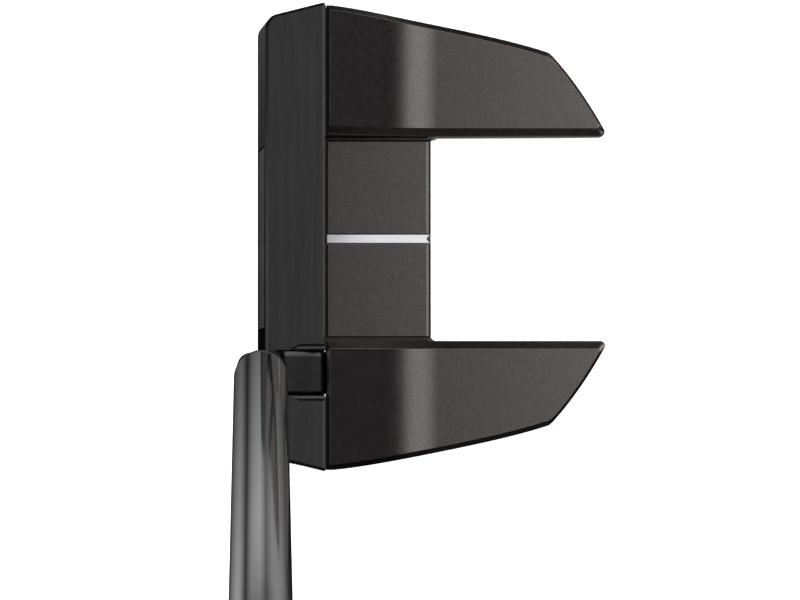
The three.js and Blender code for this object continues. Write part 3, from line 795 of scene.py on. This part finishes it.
# ------------------------------------------------------------------------- neck
NECK = [
    (8.3, -3.95, -14.2, 23.7, 32.4, 9), (15, -3.95, -14.2, 23.7, 32.4, 9), (20.6, -3.95, -14.2, 23.7, 32.4, 9), (21.7, -4.85, -14.2, 23.7, 32.4, 9),
    (22.0, -5.05, -14.2, 23.7, 32.4, 9), (22.7, -6.2, -14.2, 23.7, 32.4, 8), (23.5, -7.75, -14.2, 23.7, 32.4, 8), (24.3, -9.35, -14.2, 23.7, 32.4, 7),
    (25.15, -11.0, -14.6, 23.7, 32.4, 6), (25.8, -12.15, -15.8, 23.72, 32.42, 6), (26.6, -12.9, -17.0, 23.75, 32.45, 5.5),
    (28, -13.2, -18.4, 23.8, 32.5, 5), (32, -13.2, -19.9, 23.9, 32.6, 4.5), (38, -12.95, -21.3, 24.0, 32.8, 4),
    (46, -12.75, -22.1, 24.2, 33.1, 3.6), (56, -12.7, -22.35, 24.4, 33.4, 3.0), (67, -12.7, -22.35, 24.55, 33.75, 2.5),
]
AXIS = Vector((math.cos(LIE), 0, math.sin(LIE)))
ACROSS = Vector((math.sin(LIE), 0, -math.cos(LIE)))


def power(v, e):
    return math.copysign(abs(v) ** e, v)


def pchip(xs, ys, x):
    """monotone cubic through the stations"""
    n = len(xs)
    h = [xs[i + 1] - xs[i] for i in range(n - 1)]
    d = [(ys[i + 1] - ys[i]) / h[i] for i in range(n - 1)]
    m = [d[0]] + [0.0 if d[i - 1] * d[i] <= 0 else 2 * d[i - 1] * d[i] / (d[i - 1] + d[i]) for i in range(1, n - 1)] + [d[-1]]
    i = max(0, min(n - 2, next((k for k in range(n - 1) if x <= xs[k + 1]), n - 2)))
    t = (x - xs[i]) / h[i]
    return ((2 * t**3 - 3 * t * t + 1) * ys[i] + (t**3 - 2 * t * t + t) * h[i] * m[i]
            + (-2 * t**3 + 3 * t * t) * ys[i + 1] + (t**3 - t * t) * h[i] * m[i + 1])


def neck_section(z):
    zs = [s[0] for s in NECK]
    _, yr, yf, xt, xh, q = (pchip(zs, [s[k] for s in NECK], z) for k in range(6))
    return yr, yf, xt, xh, q


def rounded_ring(x0, x1, y0, y1, q, n=96):
    """superellipse sampled evenly in angle of its own arc"""
    e = 2 / q
    pts = []
    for k in range(n):
        a = 2 * math.pi * (k + 0.5) / n
        pts.append(((x0 + x1) / 2 + (x1 - x0) / 2 * power(math.cos(a), e), (y0 + y1) / 2 + (y1 - y0) / 2 * power(math.sin(a), e)))
    return pts


def cornered_ring(x0, x1, y0, y1, toe, toe_deep, heel, heel_deep, n):
    """rectangle whose rear corners are shaped edges: a shallow one at the toe side, a steep one at the heel side"""
    quarters = [(x1, y1, heel, heel_deep, 1.3), (x0, y1, toe, toe_deep, 1.45), (x0, y0, 0.5, 0.5, 2.0), (x1, y0, 0.5, 0.5, 2.0)]
    pts = []
    m = n // 4
    for q, (x, y, rx, ry, p) in enumerate(quarters):
        sx = 1 if q in (0, 3) else -1
        sy = 1 if q in (0, 1) else -1
        for k in range(m):
            a = 2 * math.pi * (q * m + k + 0.5) / n
            pts.append((x - sx * rx + rx * power(math.cos(a), 2 / p), y - sy * ry + ry * power(math.sin(a), 2 / p)))
    return pts


def build_neck():
    zs = list(np.linspace(8.5, 21.6, 6)) + list(np.linspace(22.0, 26.4, 23)) + list(np.linspace(26.8, 34, 19)) + list(np.linspace(35, 67, 33))
    rows = []
    n = 96
    first = cornered_ring(23.9, 32.2, -14.0, -4.1, 0.2, 0.2, 0.2, 0.2, n)
    rows.append([(x, y, 8.3) for x, y in first])
    for z in zs:
        yr, yf, xt, xh, q = neck_section(float(z))
        wide = min(1.0, max(0.25, (float(z) - 21.0) / 0.9))
        a = cornered_ring(xt, xh, yf, yr, 1.05 * wide, 0.5 * wide, 0.6 * wide, 1.15 * wide, n)
        b = rounded_ring(xt, xh, yf, yr, q, n)
        f = min(1.0, max(0.0, (float(z) - 26.4) / 5.0))
        f = f * f * (3 - 2 * f)
        rows.append([(u[0] * (1 - f) + v[0] * f, u[1] * (1 - f) + v[1] * f, float(z)) for u, v in zip(a, b)])
    base = rows[-1]
    top_s = TIP_S - GAP
    c = Vector((AXIS_X0, AXIS_Y, 0)) + AXIS * top_s
    for f, r, ds in ((0.16, 4.95, 0), (0.32, 4.95, 0), (0.48, 4.95, 0), (0.64, 4.95, 0), (0.8, 4.95, 0), (0.92, 4.95, 0), (1.0, 4.95, -0.12), (1.0, 4.83, 0)):
        row = []
        for k in range(n):
            a = 2 * math.pi * (k + 0.5) / n
            u = math.cos(a) * r
            t = c + AXIS * ds + ACROSS * u + Vector((0, math.sin(a) * r, 0))
            b = Vector(base[k])
            row.append(tuple(b.lerp(t, f)))
        rows.append(row)
    neck = tube_rows("neck", rows)
    post = on_shaft(turned("post", [(0, top_s - 3), (POST_R, top_s - 3), (POST_R, top_s + POST_LEN - 1), (POST_R - 1, top_s + POST_LEN), (0, top_s + POST_LEN)], 64))
    plus(neck, post)
    minus(neck, turned("hole", [(0, 0), (2.35, 0), (2.35, 16.6), (0, 16.6)], 40, x=NECK_X, y=NECK_SCREW_Y))
    return tidy(neck)


# ------------------------------------------------------------------------ shaft
SHAFT = [(TIP_S, TIP_R), (383, 5.82), (640, 7.0), (BUTT_S, 7.5)]


def shaft_radius(s):
    for (s0, r0), (s1, r1) in zip(SHAFT, SHAFT[1:]):
        if s <= s1:
            return r0 + (r1 - r0) * (s - s0) / (s1 - s0)
    return SHAFT[-1][1]


def build_shaft():
    wall = 0.75
    out = [(TIP_R - wall + 0.1, TIP_S), (TIP_R - 0.34, TIP_S), (TIP_R - 0.26, TIP_S + 0.06), (TIP_R - 0.22, TIP_S + 0.2), (TIP_R - 0.02, TIP_S + 0.95), (TIP_R, TIP_S + 1.15)]
    ss = [90, 100, 115, 130, 150, 175, 200, 240, 290, 340] + list(np.linspace(375, 391, 5)) + [430, 480, 530, 580, 615] + list(np.linspace(630, 650, 5)) + [700, 760, 820]
    out += [(shaft_radius(s), float(s)) for s in ss]
    out += [(7.5, BUTT_S - 0.2), (7.3, BUTT_S), (7.5 - wall, BUTT_S)]
    inner = [(shaft_radius(s) - wall, float(s)) for s in (820, 640, 500, 383, 250, 150)] + [(TIP_R - wall, TIP_S + 0.1)]
    return on_shaft(turned("shaft", out + inner, 128, closed=True))


# ------------------------------------------------------------------------- grip
GRIP = [
    (GRIP_S0, 9.0, 8.6, 9.0), (GRIP_S0 + 1.5, 9.6, 9.0, 9.6), (640, 10.2, 9.2, 10.3), (670, 10.9, 9.4, 11.2), (710, 11.7, 9.7, 12.2),
    (750, 12.4, 10.0, 13.0), (790, 12.9, 10.2, 14.2), (820, 13.2, 10.4, 15.8), (845, 13.4, 10.5, 17.6), (865, 13.6, 10.6, 18.6),
    (880, 13.7, 10.7, 18.3), (GRIP_S1 - 0.8, 13.6, 10.6, 17.6), (GRIP_S1, 12.9, 10.0, 16.8),
]


def grip_point(a, s, k=1.0, sink=0.0):
    ss = [g[0] for g in GRIP]
    s_in = min(max(s, GRIP_S0), GRIP_S1)
    w, f, b = (pchip(ss, [g[i] for g in GRIP], s_in) for i in (1, 2, 3))
    cu = math.cos(a)
    u = -f * abs(cu) ** 0.42 if cu < 0 else b * cu**0.95
    v = w * power(math.sin(a), 0.72 if cu < 0 else 0.9)
    m = math.hypot(u, v)
    q = k * (m - sink) / m
    return u * q, v * q, s


def ring_angles(n):
    """angles that space the grip's ring evenly"""
    fine = 2400
    pts = [grip_point(2 * math.pi * k / fine, 780.0) for k in range(fine + 1)]
    run = [0.0]
    for p, q in zip(pts, pts[1:]):
        run.append(run[-1] + math.hypot(q[0] - p[0], q[1] - p[1]))
    out, j = [], 0
    for k in range(n):
        want = run[-1] * k / n
        while run[j + 1] < want:
            j += 1
        out.append(2 * math.pi * (j + (want - run[j]) / max(run[j + 1] - run[j], 1e-9)) / fine)
    return out


def build_grip():
    n = 144
    angles = ring_angles(n)
    stations = [GRIP_S0, GRIP_S0 + 0.12, GRIP_S0 + 0.4, GRIP_S0 + 0.9, GRIP_S0 + 1.6]
    s = GRIP_S0 + 2.6
    while s < GRIP_S1 - 1.8:
        stations.append(s)
        s += 0.75
    stations += [GRIP_S1 - 1.4, GRIP_S1 - 0.8, GRIP_S1 - 0.4, GRIP_S1 - 0.12, GRIP_S1]
    rows = []
    for s in stations:
        row = []
        for k, a in enumerate(angles):
            edge = min(s - GRIP_S0, GRIP_S1 - s)
            shrink = 0.0
            if edge < 0.9:
                shrink = 0.55 * (1 - math.sqrt(max(0.0, 1 - (1 - edge / 0.9) ** 2)))
            # two fields of short cross grooves on the flat front, one pair of side lines
            arc = k / n
            sink = 0.0
            front = math.cos(a) < 0
            if front and (648 < s < 700 or 732 < s < 872):
                x = grip_point(a, s)
                inside = min(1.0, max(0.0, (0.72 - abs(x[1]) / 12.5) / 0.08))
                wave = (s % 4.5) / 4.5
                dip = max(0.0, 1 - abs(wave - 0.5) / 0.2)
                sink += 0.32 * inside * min(1.0, dip * 1.6)
            if abs(abs(math.sin(a)) - 1) < 0.004 and 640 < s < 872:
                sink += 0.3
            row.append(grip_point(a, s, sink=sink + shrink))
        rows.append(row)
    grip = tube_rows("grip", rows)
    bore = turned("bore", [(0, GRIP_S0 - 5), (shaft_radius(GRIP_S0) + 1.0, GRIP_S0 - 5), (shaft_radius(GRIP_S0) + 1.0, GRIP_S0 + 1),
                           (shaft_radius(640) + 1.0, 640), (shaft_radius(BUTT_S) + 1.0, BUTT_S), (shaft_radius(BUTT_S) + 1.0, 900), (0, 900)], 72)
    minus(grip, bore)
    return on_shaft(tidy(grip))


def build_cap():
    angles = ring_angles(120)
    rows = []
    for s, k, sink in ((GRIP_S1 + GAP, 1.0, 0.35), (GRIP_S1 + GAP + 0.1, 1.0, 0.12), (GRIP_S1 + GAP + 0.3, 1.0, 0.0), (CLUB_S - 0.75, 1.0, 0.0),
                       (CLUB_S - 0.4, 1.0, 0.12), (CLUB_S - 0.16, 1.0, 0.4), (CLUB_S - 0.03, 1.0, 0.8), (CLUB_S, 1.0, 1.3),
                       (CLUB_S, 1.0, 2.4), (CLUB_S - 0.25, 1.0, 2.7), (CLUB_S - 0.25, 1.0, 3.5), (CLUB_S, 1.0, 3.8)):
        row = []
        for a in angles:
            u, v, _ = grip_point(a, GRIP_S1, k, sink)
            row.append((u, v, s))
        rows.append(row)
    cap = tube_rows("cap", rows)
    plus(cap, turned("plug", [(0, BUTT_S - 14), (5.2, BUTT_S - 14), (5.6, BUTT_S - 13.8), (6.3, BUTT_S - 12.6), (6.3, GRIP_S1 + 1), (0, GRIP_S1 + 1)], 64))
    minus(cap, turned("vent", [(0, CLUB_S - 3), (1.0, CLUB_S - 3), (1.0, CLUB_S - 0.3), (1.5, CLUB_S + 0.3), (0, CLUB_S + 0.3)], 40))
    return on_shaft(tidy(cap))


# ------------------------------------------------------- sole plate and fasteners
def build_sole():
    b = (0.1, 0.3, 1.0)
    top = (0.05, 0.12, 1.0)
    c = 1.2
    el = []
    corners = [(SOLE_HALF - c, SOLE_FRONT), (SOLE_HALF, SOLE_FRONT + c), (SOLE_HALF, SOLE_REAR - c), (SOLE_HALF - c, SOLE_REAR),
               (-SOLE_HALF + c, SOLE_REAR), (-SOLE_HALF, SOLE_REAR - c), (-SOLE_HALF, SOLE_FRONT + c), (-SOLE_HALF + c, SOLE_FRONT)]
    for x, y in corners:
        el.append(("C", x, y, 0.9, top, top, 5))
    plate = outline_object("sole", el, edge_levels(lambda y: SOLE_T, lambda y: 0.0, foot=0.35))
    for x, y in SOLE_SCREWS:
        minus(plate, turned("hole", [(0, -1), (3.45, -1), (3.45, 0.0), (3.3, 0.15), (3.3, 0.55), (1.8, 1.7), (1.8, 4), (0, 4)], 56, x=x, y=y))
    # three shallow lines milled across the plate, clear of its centre
    for y in (-7.2, -6.0, -4.8):
        minus(plate, prism("mill", [(y - 0.3, -0.5), (y + 0.3, -0.5), (y + 0.3, -0.02), (y, 0.22), (y - 0.3, -0.02)], -12, 12, "x"))
    return tidy(plate)


def hexagon(r, lo, hi, x, y):
    return turned("socket", [(0, lo), (r, lo), (r, hi), (0, hi)], 6, x=x, y=y)


def build_screw(r, head_r, length, head_h, socket_r, x, y, z):
    p = [(0, 0), (head_r - 0.15, 0), (head_r, 0.08), (head_r, 0.25), (r + 0.08, head_h - 0.06), (r, head_h + 0.06)]
    s = head_h + 0.5
    while s < length - 0.9:
        p += [(r, s), (r - 0.12, s + 0.16), (r, s + 0.32)]
        s += 0.45
    p += [(r, length - 0.4), (r - 0.4, length), (0, length)]
    ob = turned("screw", p, 56)
    minus(ob, hexagon(socket_r, -1, head_h * 0.62, 0, 0))
    ob.data.transform(Matrix.Translation((x, y, z)))
    return tidy(ob)


def build_weight(x):
    p = [(0, 4.0), (3.0, 4.0), (3.05, 4.12), (3.35, 4.12), (3.4, 4.0), (WEIGHT_R - 0.45, 4.0), (WEIGHT_R - 0.13, 4.13), (WEIGHT_R, 4.45)]
    s = 5.2
    while s < 10.2:
        p += [(WEIGHT_R, s), (WEIGHT_R - 0.18, s + 0.2), (WEIGHT_R, s + 0.4)]
        s += 0.7
    p += [(WEIGHT_R, 10.7), (WEIGHT_R - 0.3, 11.0), (0, 11.0)]
    ob = turned("weight", p, 72)
    minus(ob, hexagon(2.4, 0, 7.4, 0, 0))
    ob.data.transform(Matrix.Translation((x, WEIGHT_Y, 0)))
    return tidy(ob)


def build_insert():
    """grooved face: rows of flat-bottomed grooves with broken edges"""
    pts = [(INSERT_T, INSERT_Z0), (INSERT_T, INSERT_Z1), (0.25, INSERT_Z1), (0.07, INSERT_Z1 - 0.07), (0, INSERT_Z1 - 0.25)]
    for k in range(10, -1, -1):
        z = INSERT_Z0 + 1.1 + k * 1.55
        if z + 0.6 > INSERT_Z1 - 0.8:
            continue
        pts += [(0, z + 0.68), (0.05, z + 0.6), (0.30, z + 0.52), (0.35, z + 0.46), (0.35, z + 0.16), (0.30, z + 0.1), (0.05, z + 0.02), (0, z - 0.06)]
    pts += [(0, INSERT_Z0 + 0.25), (0.07, INSERT_Z0 + 0.07), (0.25, INSERT_Z0)]
    ins = prism("insert", pts, -INSERT_HALF, INSERT_HALF, "x")
    form = plate_y("form", rounded_rect(-INSERT_HALF - 0.01, INSERT_HALF + 0.01, INSERT_Z0 - 0.01, INSERT_Z1 + 0.01, 1.2), -2, INSERT_T + 2)
    combine(ins, form, "INTERSECT")
    return tidy(tilt_with_face(ins))


# ------------------------------------------------------------------- assembling
piece(build_frame(), "rear_frame_body", M_FRAME, ["rear_frame"])
piece(build_front(), "front_block", M_STEEL, ["front_body"])
piece(build_deck(), "deck_plate", M_DECK, ["center_deck"])
piece(build_line(), "sight_line_inlay", M_LINE, ["sight_line"])
piece(build_neck(), "curved_neck", M_NECK, ["hosel_neck"])
piece(build_shaft(), "shaft_tube", M_CHROME, ["shaft"])
piece(build_grip(), "moulded_grip", M_GRIP, ["grip"], sharp=40)
piece(build_cap(), "butt_cap", M_CAP, ["grip_cap"])
piece(build_sole(), "sole_cover", M_SOLE, ["sole_plate"])
piece(build_insert(), "grooved_insert", M_INSERT, ["face_insert"])
for _i, (_x, _y) in enumerate(FRAME_SCREWS):
    piece(build_screw(1.5, 2.8, 6.3, 1.3, 1.2, _x, _y, 2.4), f"frame_bolt_{_i + 1}", M_SCREW, [f"frame_screw_{_i + 1}"])
for _i, (_x, _y) in enumerate(SOLE_SCREWS):
    piece(build_screw(1.25, 2.7, 4.8, 1.2, 1.1, _x, _y, 0.15), f"sole_bolt_{_i + 1}", M_SCREW, [f"sole_screw_{_i + 1}"])
for _i, (_x, _y) in enumerate(DECK_SCREWS):
    piece(build_screw(1.25, 2.4, 5.0, 1.2, 1.0, _x, _y, 5.75), f"deck_bolt_{_i + 1}", M_SCREW, [f"deck_screw_{_i + 1}"])
piece(build_screw(2.0, 4.0, 15.2, 2.3, 1.7, NECK_X, NECK_SCREW_Y, 0.7), "neck_bolt", M_SCREW, ["neck_screw"])
for _n, _s in (("toe", -1), ("heel", 1)):
    piece(build_weight(_s * WEIGHT_X), f"{_n}_weight_plug", M_WEIGHT, [f"{_n}_weight"])
    piece(turned("ring", [(3.1, 11.3), (5.2, 11.3), (5.3, 11.4), (5.3, 12.05), (5.2, 12.15), (3.1, 12.15), (3.0, 12.05), (3.0, 11.4)], 64, closed=True,
                 x=_s * WEIGHT_X, y=WEIGHT_Y), f"{_n}_washer_ring", M_WASHER, [f"{_n}_weight_washer"])
for _n, _m in (("insert_bond", M_BOND), ("grip_tape", M_TAPE)):
    _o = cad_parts[_n]
    _o.data.materials.clear()
    _o.data.materials.append(_m)

# ------------------------------------------------------------------------ stage
# painted light and shade on the table card, by bearing (degrees from the toe direction, positive to the back), with
# dark dips for painted shadows such as the shaft's near -52, and by distance (m), dark close to the head as painted
# contact shade
FAN = [(-180, 0.02), (-146, 0.10), (-113, 0.62), (-88, 0.88), (-72, 0.60), (-61, 0.24), (-52, 0.08), (-45, 0.28), (-30, 0.66), (-15, 0.78), (-2, 0.85),
       (12, 0.48), (18, 0.26), (26, 0.42), (40, 0.58), (56, 0.62), (73, 0.57), (94, 0.38), (105, 0.24), (117, 0.09), (142, 0.02), (180, 0.02)]
FAR = [(0.0, 0.08), (0.035, 0.36), (0.06, 0.68), (0.085, 0.98), (0.10, 0.9), (0.12, 0.3), (0.14, 0.05), (0.30, 0.02)]


def emission(name, stops_by_distance=None, strength=1.0, colour=(1, 1, 1)):
    m = bpy.data.materials.new(name)
    m.use_nodes = True
    t = m.node_tree
    t.nodes.clear()
    out = t.nodes.new("ShaderNodeOutputMaterial")
    em = t.nodes.new("ShaderNodeEmission")
    em.inputs["Color"].default_value = (*colour, 1)
    em.inputs["Strength"].default_value = strength
    t.links.new(em.outputs["Emission"], out.inputs["Surface"])
    return m, t, em


def plane(name, half, z, material):
    me = bpy.data.meshes.new(name)
    me.from_pydata([(-half, -half, z), (half, -half, z), (half, half, z), (-half, half, z)], [], [(0, 1, 2, 3)])
    me.materials.append(material)
    ob = bpy.data.objects.new(name, me)
    SCENE.collection.objects.link(ob)
    return ob


floor_mat = Nodes("pale_floor")
_tone = floor_mat.ramp(floor_mat.noise(3, 2), [(0.3, (0.82, 0.82, 0.82)), (0.7, (0.84, 0.84, 0.84))])
floor_mat.done(_tone, Roughness=0.9, Specular_IOR_Level=0.1, Emission_Color=(1.0, 1.0, 1.0, 1.0), Emission_Strength=0.75)
floor = plane("studio_floor", 12.0, -0.00005, floor_mat.m)
floor.visible_glossy = False

# what polished metal sees of the table: a glowing card, seen only in reflections, painted with bands of light and
# shadow that fan out from where the shaft's axis meets it, and with painted contact shade near the head
card_mat, _t, _em = emission("table_card_painted_shade", strength=1.0)


def card_node(kind, **settings):
    n = _t.nodes.new(kind)
    for k, v in settings.items():
        setattr(n, k, v)
    return n


def card_curve(value, lo, hi, stops):
    r = card_node("ShaderNodeMapRange")
    r.inputs["From Min"].default_value = lo
    r.inputs["From Max"].default_value = hi
    _t.links.new(value, r.inputs["Value"])
    c = card_node("ShaderNodeValToRGB")
    el = c.color_ramp.elements
    while len(el) < len(stops):
        el.new(0.5)
    for e, (p, v) in zip(el, stops):
        e.position = (p - lo) / (hi - lo)
        e.color = (v, v, v, 1)
    _t.links.new(r.outputs["Result"], c.inputs["Fac"])
    return c.outputs["Color"]


_co = card_node("ShaderNodeTexCoord")
_map = card_node("ShaderNodeMapping")
_map.inputs["Location"].default_value = (-AXIS_X0 * MM, -AXIS_Y * MM, 0.0)
_t.links.new(_co.outputs["Object"], _map.inputs["Vector"])
_len = card_node("ShaderNodeVectorMath", operation="LENGTH")
_t.links.new(_map.outputs["Vector"], _len.inputs[0])
_xyz = card_node("ShaderNodeSeparateXYZ")
_t.links.new(_map.outputs["Vector"], _xyz.inputs["Vector"])
_neg = card_node("ShaderNodeMath", operation="MULTIPLY")
_neg.inputs[1].default_value = -1.0
_t.links.new(_xyz.outputs["X"], _neg.inputs[0])
_ang = card_node("ShaderNodeMath", operation="ARCTAN2")
_t.links.new(_xyz.outputs["Y"], _ang.inputs[0])
_t.links.new(_neg.outputs[0], _ang.inputs[1])
# painted shadows: the dark dips in the fan, among them the shaft's shadow near -52 degrees; painted contact shade: the
# distance ramp keeps the card dark close to the head
_fan = card_curve(_ang.outputs[0], -math.pi, math.pi, [(math.radians(a), v) for a, v in FAN])
_far = card_curve(_len.outputs["Value"], 0.0, 0.30, FAR)
_mul = card_node("ShaderNodeMix", data_type="RGBA", blend_type="MULTIPLY")
_mul.inputs["Factor"].default_value = 1.0
_t.links.new(_fan, _mul.inputs["A"])
_t.links.new(_far, _mul.inputs["B"])
_t.links.new(_mul.outputs["Result"], _em.inputs["Color"])
card = plane("table_card_painted_shade", 0.35, -0.0001, card_mat)

# a wide pale sheet lower down, which only the upper shaft and the grip reflect
sheet_mat, _t, _em = emission("low_sheet", strength=0.5)
_co = card_node("ShaderNodeTexCoord")
_len = card_node("ShaderNodeVectorMath", operation="LENGTH")
_t.links.new(_co.outputs["Object"], _len.inputs[0])
_t.links.new(card_curve(_len.outputs["Value"], 1.0, 12.0, [(1.0, 0.9), (2.4, 0.25), (4.0, 0.9), (8.0, 0.5), (11.0, 0.0), (12.0, 0.0)]), _em.inputs["Color"])
sheet = plane("low_sheet", 14.0, -1.0, sheet_mat)
for _o in (card, sheet):
    _o.visible_camera = False
    _o.visible_diffuse = False
    _o.visible_shadow = False
    _o.visible_transmission = False

# pale surround seen by the camera only, so that every view has a plain backdrop
dome_mat, _t2, _em2 = emission("surround", strength=1.05)
bm = bmesh.new()
bmesh.ops.create_icosphere(bm, subdivisions=3, radius=28.0)
dome = as_object("surround", bm)
dome.data.materials.append(dome_mat)
dome.visible_diffuse = False
dome.visible_glossy = False
dome.visible_shadow = False
dome.visible_transmission = False

# broad overhead light for the floor and the matt pieces
sun = bpy.data.lights.new("overhead", "SUN")
sun.energy = 3.0
sun.angle = math.radians(70)
sun_ob = bpy.data.objects.new("overhead", sun)
sun_ob.rotation_euler = (math.radians(8), math.radians(-6), 0)
SCENE.collection.objects.link(sun_ob)
sun_ob.visible_glossy = False

# studio seen in the metal: a soft strip above and behind, low panels at the sides
world = bpy.data.worlds.new("studio")
SCENE.world = world
world.use_nodes = True
w = world.node_tree
w.nodes.clear()


def wn(kind, **settings):
    n = w.nodes.new(kind)
    for k, v in settings.items():
        setattr(n, k, v)
    return n


def calc(op, a, b=None, c=None):
    n = wn("ShaderNodeMath", operation=op)
    for i, v in enumerate((a, b, c)):
        if v is None:
            continue
        if isinstance(v, (int, float)):
            n.inputs[i].default_value = v
        else:
            w.links.new(v, n.inputs[i])
    return n.outputs[0]


def curve(value, lo, hi, stops):
    r = wn("ShaderNodeMapRange")
    r.inputs["From Min"].default_value = lo
    r.inputs["From Max"].default_value = hi
    w.links.new(value, r.inputs["Value"])
    ramp = wn("ShaderNodeValToRGB")
    ramp.color_ramp.interpolation = "LINEAR"
    el = ramp.color_ramp.elements
    while len(el) < len(stops):
        el.new(0.5)
    for e, (p, v) in zip(el, stops):
        e.position = (p - lo) / (hi - lo)
        e.color = (v, v, v, 1)
    w.links.new(r.outputs["Result"], ramp.inputs["Fac"])
    bw = wn("ShaderNodeRGBToBW")
    w.links.new(ramp.outputs["Color"], bw.inputs["Color"])
    return bw.outputs["Val"]


coord = wn("ShaderNodeTexCoord")
sep = wn("ShaderNodeSeparateXYZ")
w.links.new(coord.outputs["Generated"], sep.inputs["Vector"])
X, Y, Z = sep.outputs["X"], sep.outputs["Y"], sep.outputs["Z"]
DEG = 180 / math.pi
along = calc("MULTIPLY", calc("ARCTAN2", Y, Z), DEG)      # angle from straight up, towards the back
aside = calc("MULTIPLY", calc("ARCTAN2", X, Z), DEG)      # the same, towards the heel
strip = curve(along, -90, 90, [(-90, 0.0), (-66, 0.0), (-56, 0.14), (-50, 0.20), (-35, 0.20), (-14, 0.10), (-8, 0.07), (0, 0.09), (1, 0.105), (2.3, 0.16), (4.2, 0.34), (8.5, 0.64),
                               (12, 0.72), (22, 0.72), (24.5, 0.6), (27.5, 0.09), (33, 0.012), (47, 0.012), (54, 0.07), (70, 0.07), (79, 0.01), (90, 0.0)])
width = curve(aside, -90, 90, [(-90, 0.0), (-60, 0.12), (-40, 1.0), (-5.5, 1.05), (0, 0.82), (8, 0.72), (40, 0.7), (60, 0.08), (90, 0.0)])
panel = curve(Z, -0.1, 1.0, [(-0.1, 0.0), (0.26, 0.0), (0.36, 0.58), (0.60, 0.58), (0.72, 0.0), (1.0, 0.0)])
# seen only from below, in the shaft's reflection of the head
lift = calc("MULTIPLY", curve(aside, -90, 90, [(-90, 0.0), (-62, 0.1), (-52, 0.5), (-28, 0.5), (-16, 0.0), (90, 0.0)]), curve(along, -90, 90, [(-90, 0.0), (-35, 0.0), (-20, 1.0), (10, 1.0), (18, 0.0), (90, 0.0)]))
bearing = calc("MULTIPLY", calc("ARCTAN2", Y, calc("MULTIPLY", X, -1.0)), DEG)
corner = calc("MULTIPLY", curve(bearing, -180, 180, [(-180, 0.0), (16, 0.0), (27, 1.0), (78, 1.0), (85, 0.0), (180, 0.0)]), curve(Z, -0.1, 1.0, [(-0.1, 0.0), (0.05, 0.0), (0.13, 0.9), (0.53, 0.9), (0.62, 0.0), (1.0, 0.0)]))
flat = calc("SQRT", calc("ADD", calc("MULTIPLY", X, X), calc("ADD", calc("MULTIPLY", Y, Y), 1e-6)))
away = curve(calc("DIVIDE", Y, flat), -1, 1, [(-1, 0.6), (-0.5, 0.6), (-0.3, 1.0), (0.3, 1.0), (0.62, 0.0), (1, 0.0)])
total = calc("ADD", calc("MULTIPLY", strip, width), calc("MULTIPLY", panel, away))
total = calc("ADD", calc("ADD", total, 0.02), calc("ADD", lift, corner))
cool = curve(along, 0, 90, [(0, 0.0), (27, 0.0), (34, 1.0), (46, 1.0), (51, 0.0), (90, 0.0)])
bg = wn("ShaderNodeBackground")
wout = wn("ShaderNodeOutputWorld")
comb = wn("ShaderNodeCombineColor")
for _k, _v in (("Red", -0.07), ("Green", 0.0), ("Blue", 0.07)):
    w.links.new(calc("MULTIPLY", total, calc("MULTIPLY_ADD", cool, _v, 1.0)), comb.inputs[_k])
w.links.new(comb.outputs["Color"], bg.inputs["Color"])
bg.inputs["Strength"].default_value = 1.0
w.links.new(bg.outputs["Background"], wout.inputs["Surface"])

# ----------------------------------------------------------------------- camera
cam_data = bpy.data.cameras.new("camera")
cam = bpy.data.objects.new("camera", cam_data)
SCENE.collection.objects.link(cam)
cam_data.sensor_width = 36.0
cam_data.lens = 4456 * 36.0 / 800
cam_data.clip_start = 0.01
cam_data.clip_end = 100.0
cam.location = (0.03985, -0.0175, 0.941)
_f = Vector((-0.02917, 0.03128, -1.0)).normalized()
_r = (Vector((0, 1, 0)) - _f * _f.y).normalized()
_u = _r.cross(_f)
_m3 = Matrix((_r, _u, -_f)).transposed()
cam.rotation_mode = "QUATERNION"
cam.rotation_quaternion = _m3.to_quaternion()
SCENE.camera = cam
SCENE.view_settings.view_transform = "Standard"
SCENE.view_settings.look = "None"
